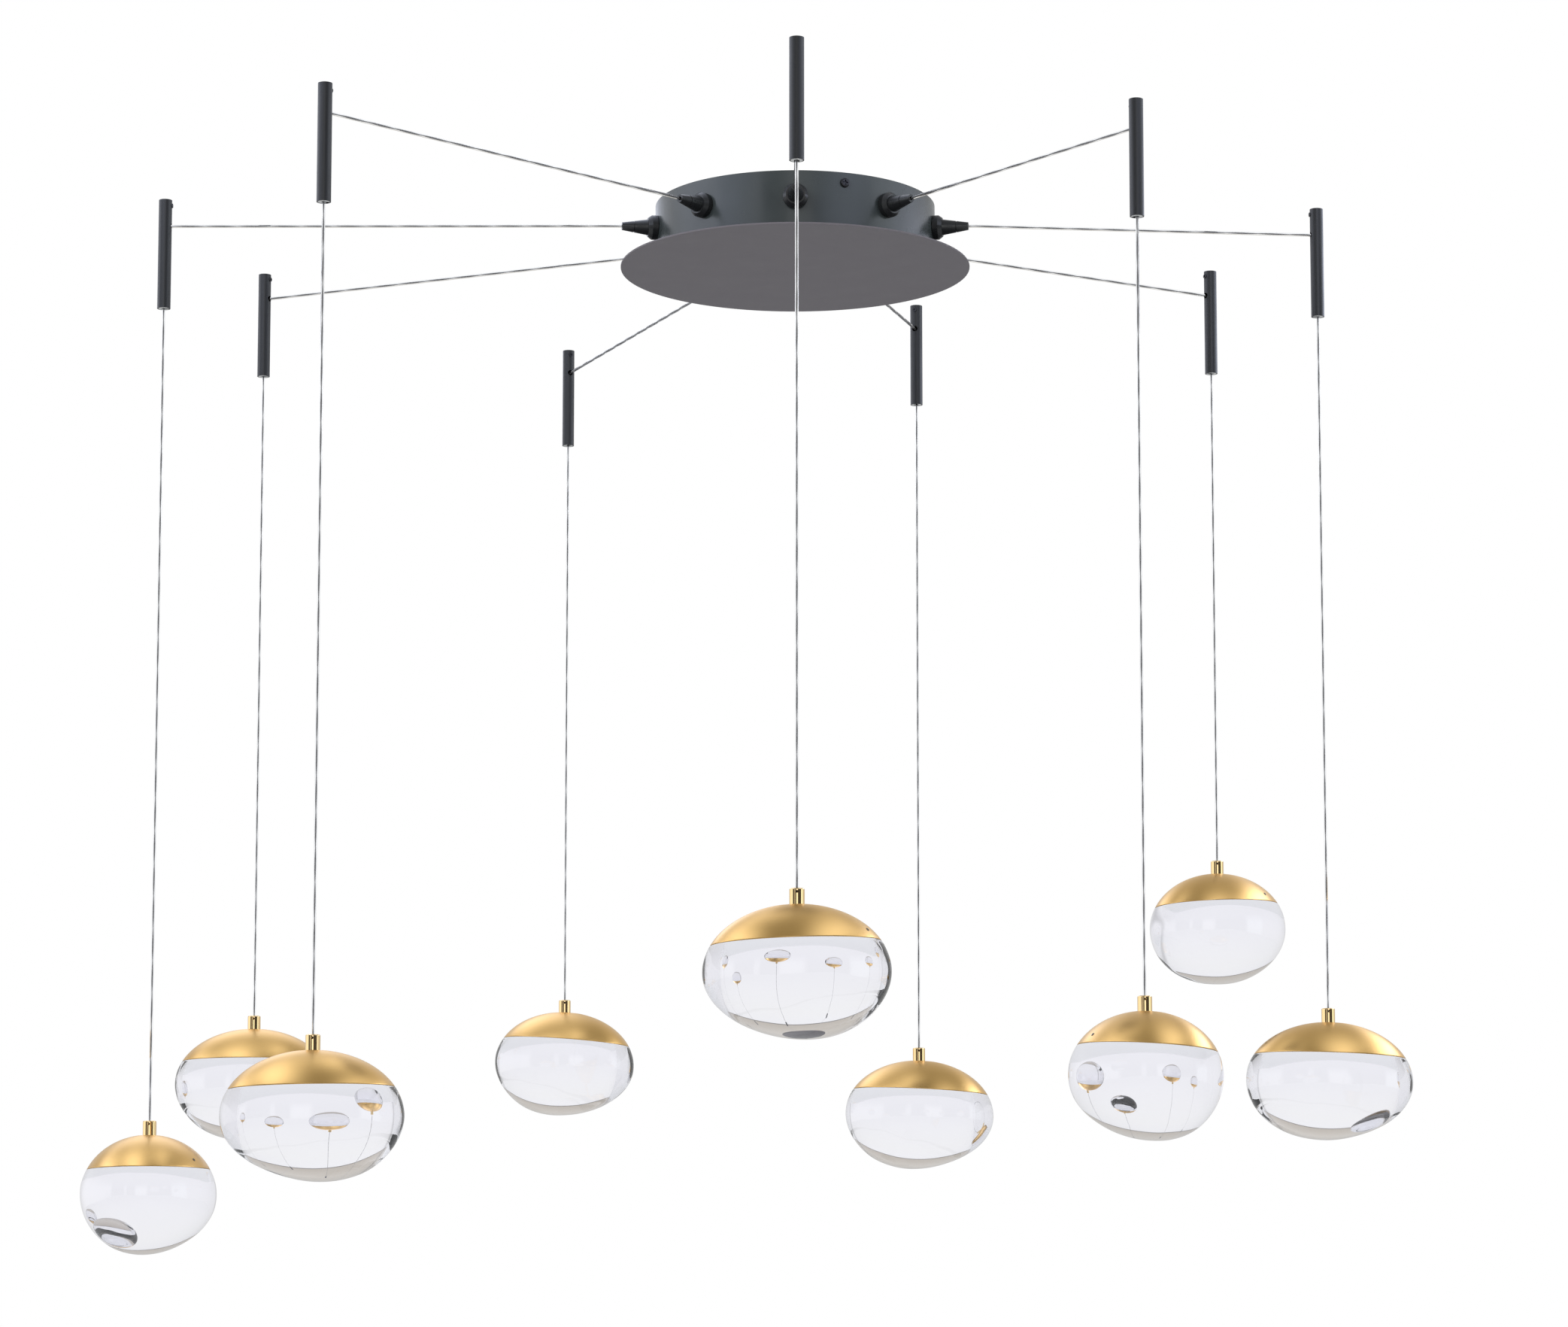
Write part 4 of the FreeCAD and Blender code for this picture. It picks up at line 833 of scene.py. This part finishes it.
class PENDANT_OT_stage(bpy.types.Operator):
    """Set out the floor, the soft lights, the pale surroundings and the camera"""
    bl_idname = "pendant.stage"
    bl_label = "Stage"

    def execute(self, context):
        scene = context.scene
        scene.view_settings.view_transform = "Standard"
        self.floor(scene)
        self.panels(scene)
        self.surroundings(scene)
        for light in SOFT_LIGHTS:
            self.soft_light(scene, *light)
        self.camera(scene)
        return {"FINISHED"}

    def floor(self, scene):
        """A wide pale sheet well below the drops."""
        colour = scene.pendant_colours.floor
        finish = Finish("floor_paint", colour, 0.7)
        cloudy = finish.noise(finish.place(), scale=1.2, detail=3.0)
        finish.join(finish.colour_between(cloudy, scaled(colour, 0.985), colour),
                    finish.shader.inputs["Base Color"])
        finish.shader.inputs["Emission Color"].default_value = (1, 1, 1, 1)
        rays = finish.add("ShaderNodeLightPath").outputs
        seen = finish.add("ShaderNodeMath", {0: rays["Is Transmission Ray"], 1: FLOOR_GLOW},
                          operation="MULTIPLY")
        finish.join(seen.outputs[0], finish.shader.inputs["Emission Strength"])
        half, level = FLOOR_HALF * MM, FLOOR_LEVEL * MM
        mesh = bpy.data.meshes.new("floor")
        mesh.from_pydata([(-half, -half, level), (half, -half, level), (half, half, level),
                          (-half, half, level)], [], [(0, 1, 2, 3)])
        mesh.materials.append(finish.material)
        floor = bpy.data.objects.new("floor", mesh)
        scene.collection.objects.link(floor)

    def panels(self, scene):
        """Bright sheets over the drops, which only rays off satin metal see.

        Each is a flat grid. Its strength falls from the middle to nothing at the edges: one less
        the square of the way out, across times along, squared.
        """
        finish = Finish("panel_white", (0, 0, 0), 1.0)
        finish.nodes.remove(finish.shader)
        rays = finish.add("ShaderNodeLightPath").outputs
        satin = finish.add("ShaderNodeMath", operation="SUBTRACT", inputs={
            0: rays["Is Glossy Ray"], 1: rays["Is Singular Ray"]})
        strength = finish.add("ShaderNodeAttribute", attribute_name="strength").outputs["Fac"]
        shown = finish.add("ShaderNodeMath", operation="MULTIPLY", inputs={
            0: satin.outputs[0], 1: strength})
        glow = finish.add("ShaderNodeEmission", {
            "Color": PANEL_COLOUR, "Strength": shown.outputs[0]})
        clear = finish.add("ShaderNodeBsdfTransparent")
        both = finish.add("ShaderNodeAddShader", {0: glow.outputs[0], 1: clear.outputs[0]})
        finish.join(both.outputs[0], finish.nodes["Material Output"].inputs["Surface"])
        finish.material.cycles.emission_sampling = "NONE"
        side = np.linspace(-1, 1, PANEL_POINTS)
        across, along = np.meshgrid(side, side)
        index = np.arange(across.size).reshape(across.shape)
        quads = np.stack([index[1:, :-1], index[1:, 1:], index[:-1, 1:], index[:-1, :-1]], axis=-1)
        for number, (x, y, half_x, half_y, power) in enumerate(PANELS, 1):
            name = "panel_%d" % number
            mesh = bpy.data.meshes.new(name)
            points = np.stack([x + across * half_x, y + along * half_y,
                               np.full(across.shape, PANEL_LEVEL)], axis=-1) * MM
            mesh.from_pydata(points.reshape(-1, 3).tolist(), [], quads.reshape(-1, 4).tolist())
            layer = mesh.attributes.new("strength", "FLOAT", "POINT")
            bell = ((1 - across ** 2) * (1 - along ** 2)) ** 2 * power
            layer.data.foreach_set("value", bell.astype(np.float32).ravel())
            mesh.materials.append(finish.material)
            panel = bpy.data.objects.new(name, mesh)
            scene.collection.objects.link(panel)
            panel.visible_camera = panel.visible_diffuse = panel.visible_shadow = False
            panel.visible_transmission = panel.visible_volume_scatter = False

    def surroundings(self, scene):
        """White behind everything; metal and glass see it with the dark gaps of a studio."""
        world = bpy.data.worlds.new("pale_studio")
        scene.world = world
        world.use_nodes = True
        tree = world.node_tree
        tree.nodes.clear()

        def add(kind, **settings):
            node = tree.nodes.new(kind)
            for setting, level in settings.items():
                setattr(node, setting, level)
            return node

        def joined(kind, sources, **settings):
            node = add(kind, **settings)
            for socket, source in enumerate(sources):
                if isinstance(source, bpy.types.NodeSocket):
                    tree.links.new(source, node.inputs[socket])
                else:
                    node.inputs[socket].default_value = source
            return node.outputs[0]

        def ramp(share, stops):
            node = add("ShaderNodeValToRGB")
            tree.links.new(share, node.inputs["Fac"])
            elements = node.color_ramp.elements
            while len(elements) < len(stops):
                elements.new(0.5)
            for element, (place, shade) in zip(elements, stops):
                element.position = place
                element.color = (*shade, 1) if isinstance(shade, tuple) else (shade,) * 3 + (1,)
            return node.outputs["Color"]

        way = add("ShaderNodeTexCoord")
        split = add("ShaderNodeSeparateXYZ")
        tree.links.new(way.outputs["Generated"], split.inputs[0])
        turn = joined("ShaderNodeMath", (split.outputs["X"], split.outputs["Y"]),
                      operation="ARCTAN2")
        heading = joined("ShaderNodeMath", (turn, 0.5 / math.pi, 0.5), operation="MULTIPLY_ADD")
        rise = joined("ShaderNodeMath", (split.outputs["Z"], 0.5, 0.5), operation="MULTIPLY_ADD")
        low = joined("ShaderNodeVectorMath", (ramp(heading, METAL_ROUND), ramp(rise, METAL_RISE)),
                     operation="MULTIPLY")
        behind = joined("ShaderNodeMath", (split.outputs["Y"], 0.5, 0.5), operation="MULTIPLY_ADD")
        above = joined("ShaderNodeMapRange", (rise, OVERHEAD_START, OVERHEAD_FULL))
        mixed = add("ShaderNodeMix", data_type="RGBA")
        tree.links.new(above, mixed.inputs["Factor"])
        tree.links.new(low, mixed.inputs["A"])
        tree.links.new(ramp(behind, OVERHEAD), mixed.inputs["B"])
        metal = mixed.outputs["Result"]
        across = joined("ShaderNodeMath", (split.outputs["X"], split.outputs["X"]),
                        operation="MULTIPLY")
        back = joined("ShaderNodeMath", (split.outputs["Y"], split.outputs["Y"]),
                      operation="MULTIPLY")
        level = joined("ShaderNodeMath", (across, CEILING_SIDES, back), operation="MULTIPLY_ADD")
        reach = joined("ShaderNodeMath", (level, 0.5), operation="POWER")
        steep = joined("ShaderNodeMath", (split.outputs["Z"], reach), operation="ARCTAN2")
        slope = CEILING_SHARE / math.atan(CEILING_SLOPE)
        share = joined("ShaderNodeMath", (steep, slope, LEVEL_SHARE), operation="MULTIPLY_ADD")
        glass = joined("ShaderNodeVectorMath", (ramp(heading, GLASS_ROUND),
                                                ramp(share, GLASS_RISE)), operation="MULTIPLY")

        rays = add("ShaderNodeLightPath").outputs
        shown = joined("ShaderNodeBackground", (LEVEL_LIGHT, LEVEL_STRENGTH))
        for kind, colour, strength in (("Is Glossy Ray", metal, METAL_STRENGTH),
                                       ("Is Transmission Ray", glass, 1.0),
                                       ("Is Camera Ray", (1, 1, 1, 1), 1.0)):
            part = joined("ShaderNodeBackground", (colour, strength))
            shown = joined("ShaderNodeMixShader", (rays[kind], shown, part))
        out = add("ShaderNodeOutputWorld")
        tree.links.new(shown, out.inputs["Surface"])

    def soft_light(self, scene, name, place, aim, size, power):
        """A square soft box that looks at a point."""
        light = bpy.data.lights.new(name, "AREA")
        light.size = size
        light.energy = power
        lamp = bpy.data.objects.new(name, light)
        lamp.location = place
        lamp.visible_glossy = False
        lamp.visible_transmission = False
        lamp.rotation_euler = (Vector(aim) - Vector(place)).to_track_quat("-Z", "Y").to_euler()
        scene.collection.objects.link(lamp)

    def camera(self, scene):
        """The photograph's view, from a long way in front and a little below the glass."""
        lens = bpy.data.cameras.new("camera")
        lens.lens = CAMERA_LENS
        lens.sensor_width = CAMERA_SENSOR
        lens.shift_y = CAMERA_SHIFT
        lens.clip_end = CAMERA_SIGHT
        camera = bpy.data.objects.new("camera", lens)
        camera.location = CAMERA_PLACE
        camera.rotation_euler = (math.pi / 2 + CAMERA_RISE, 0.0, CAMERA_TURN)
        scene.collection.objects.link(camera)
        scene.camera = camera


class PENDANT_PT_panel(bpy.types.Panel):
    """Buttons and settings of the cluster pendant"""
    bl_idname = "PENDANT_PT_panel"
    bl_label = "Cluster pendant"
    bl_space_type = "VIEW_3D"
    bl_region_type = "UI"
    bl_category = "Pendant"

    def draw(self, context):
        for operator in OPERATORS:
            self.layout.operator(operator.bl_idname)
        for group in (context.scene.pendant_sizes, context.scene.pendant_colours):
            for name in group.bl_rna.properties.keys():
                if name not in ("rna_type", "name"):
                    self.layout.prop(group, name)


OPERATORS = [PENDANT_OT_canopy, PENDANT_OT_glands, PENDANT_OT_tubes, PENDANT_OT_cables,
             PENDANT_OT_caps, PENDANT_OT_ferrules, PENDANT_OT_glass, PENDANT_OT_stage]
CLASSES = [PendantSizes, PendantColours, *OPERATORS, PENDANT_PT_panel]


def register():
    """Make the settings, the buttons and the panel known."""
    for item in CLASSES:
        bpy.utils.register_class(item)
    bpy.types.Scene.pendant_sizes = PointerProperty(type=PendantSizes)
    bpy.types.Scene.pendant_colours = PointerProperty(type=PendantColours)


def unregister():
    """Take them away again."""
    del bpy.types.Scene.pendant_sizes
    del bpy.types.Scene.pendant_colours
    for item in reversed(CLASSES):
        bpy.utils.unregister_class(item)


def main():
    """Make everything, in order."""
    register()
    bpy.ops.pendant.stage()
    bpy.ops.pendant.cables()
    bpy.ops.pendant.canopy()
    bpy.ops.pendant.glands()
    bpy.ops.pendant.tubes()
    bpy.ops.pendant.caps()
    bpy.ops.pendant.ferrules()
    bpy.ops.pendant.glass()


if __name__ == "__main__":
    main()
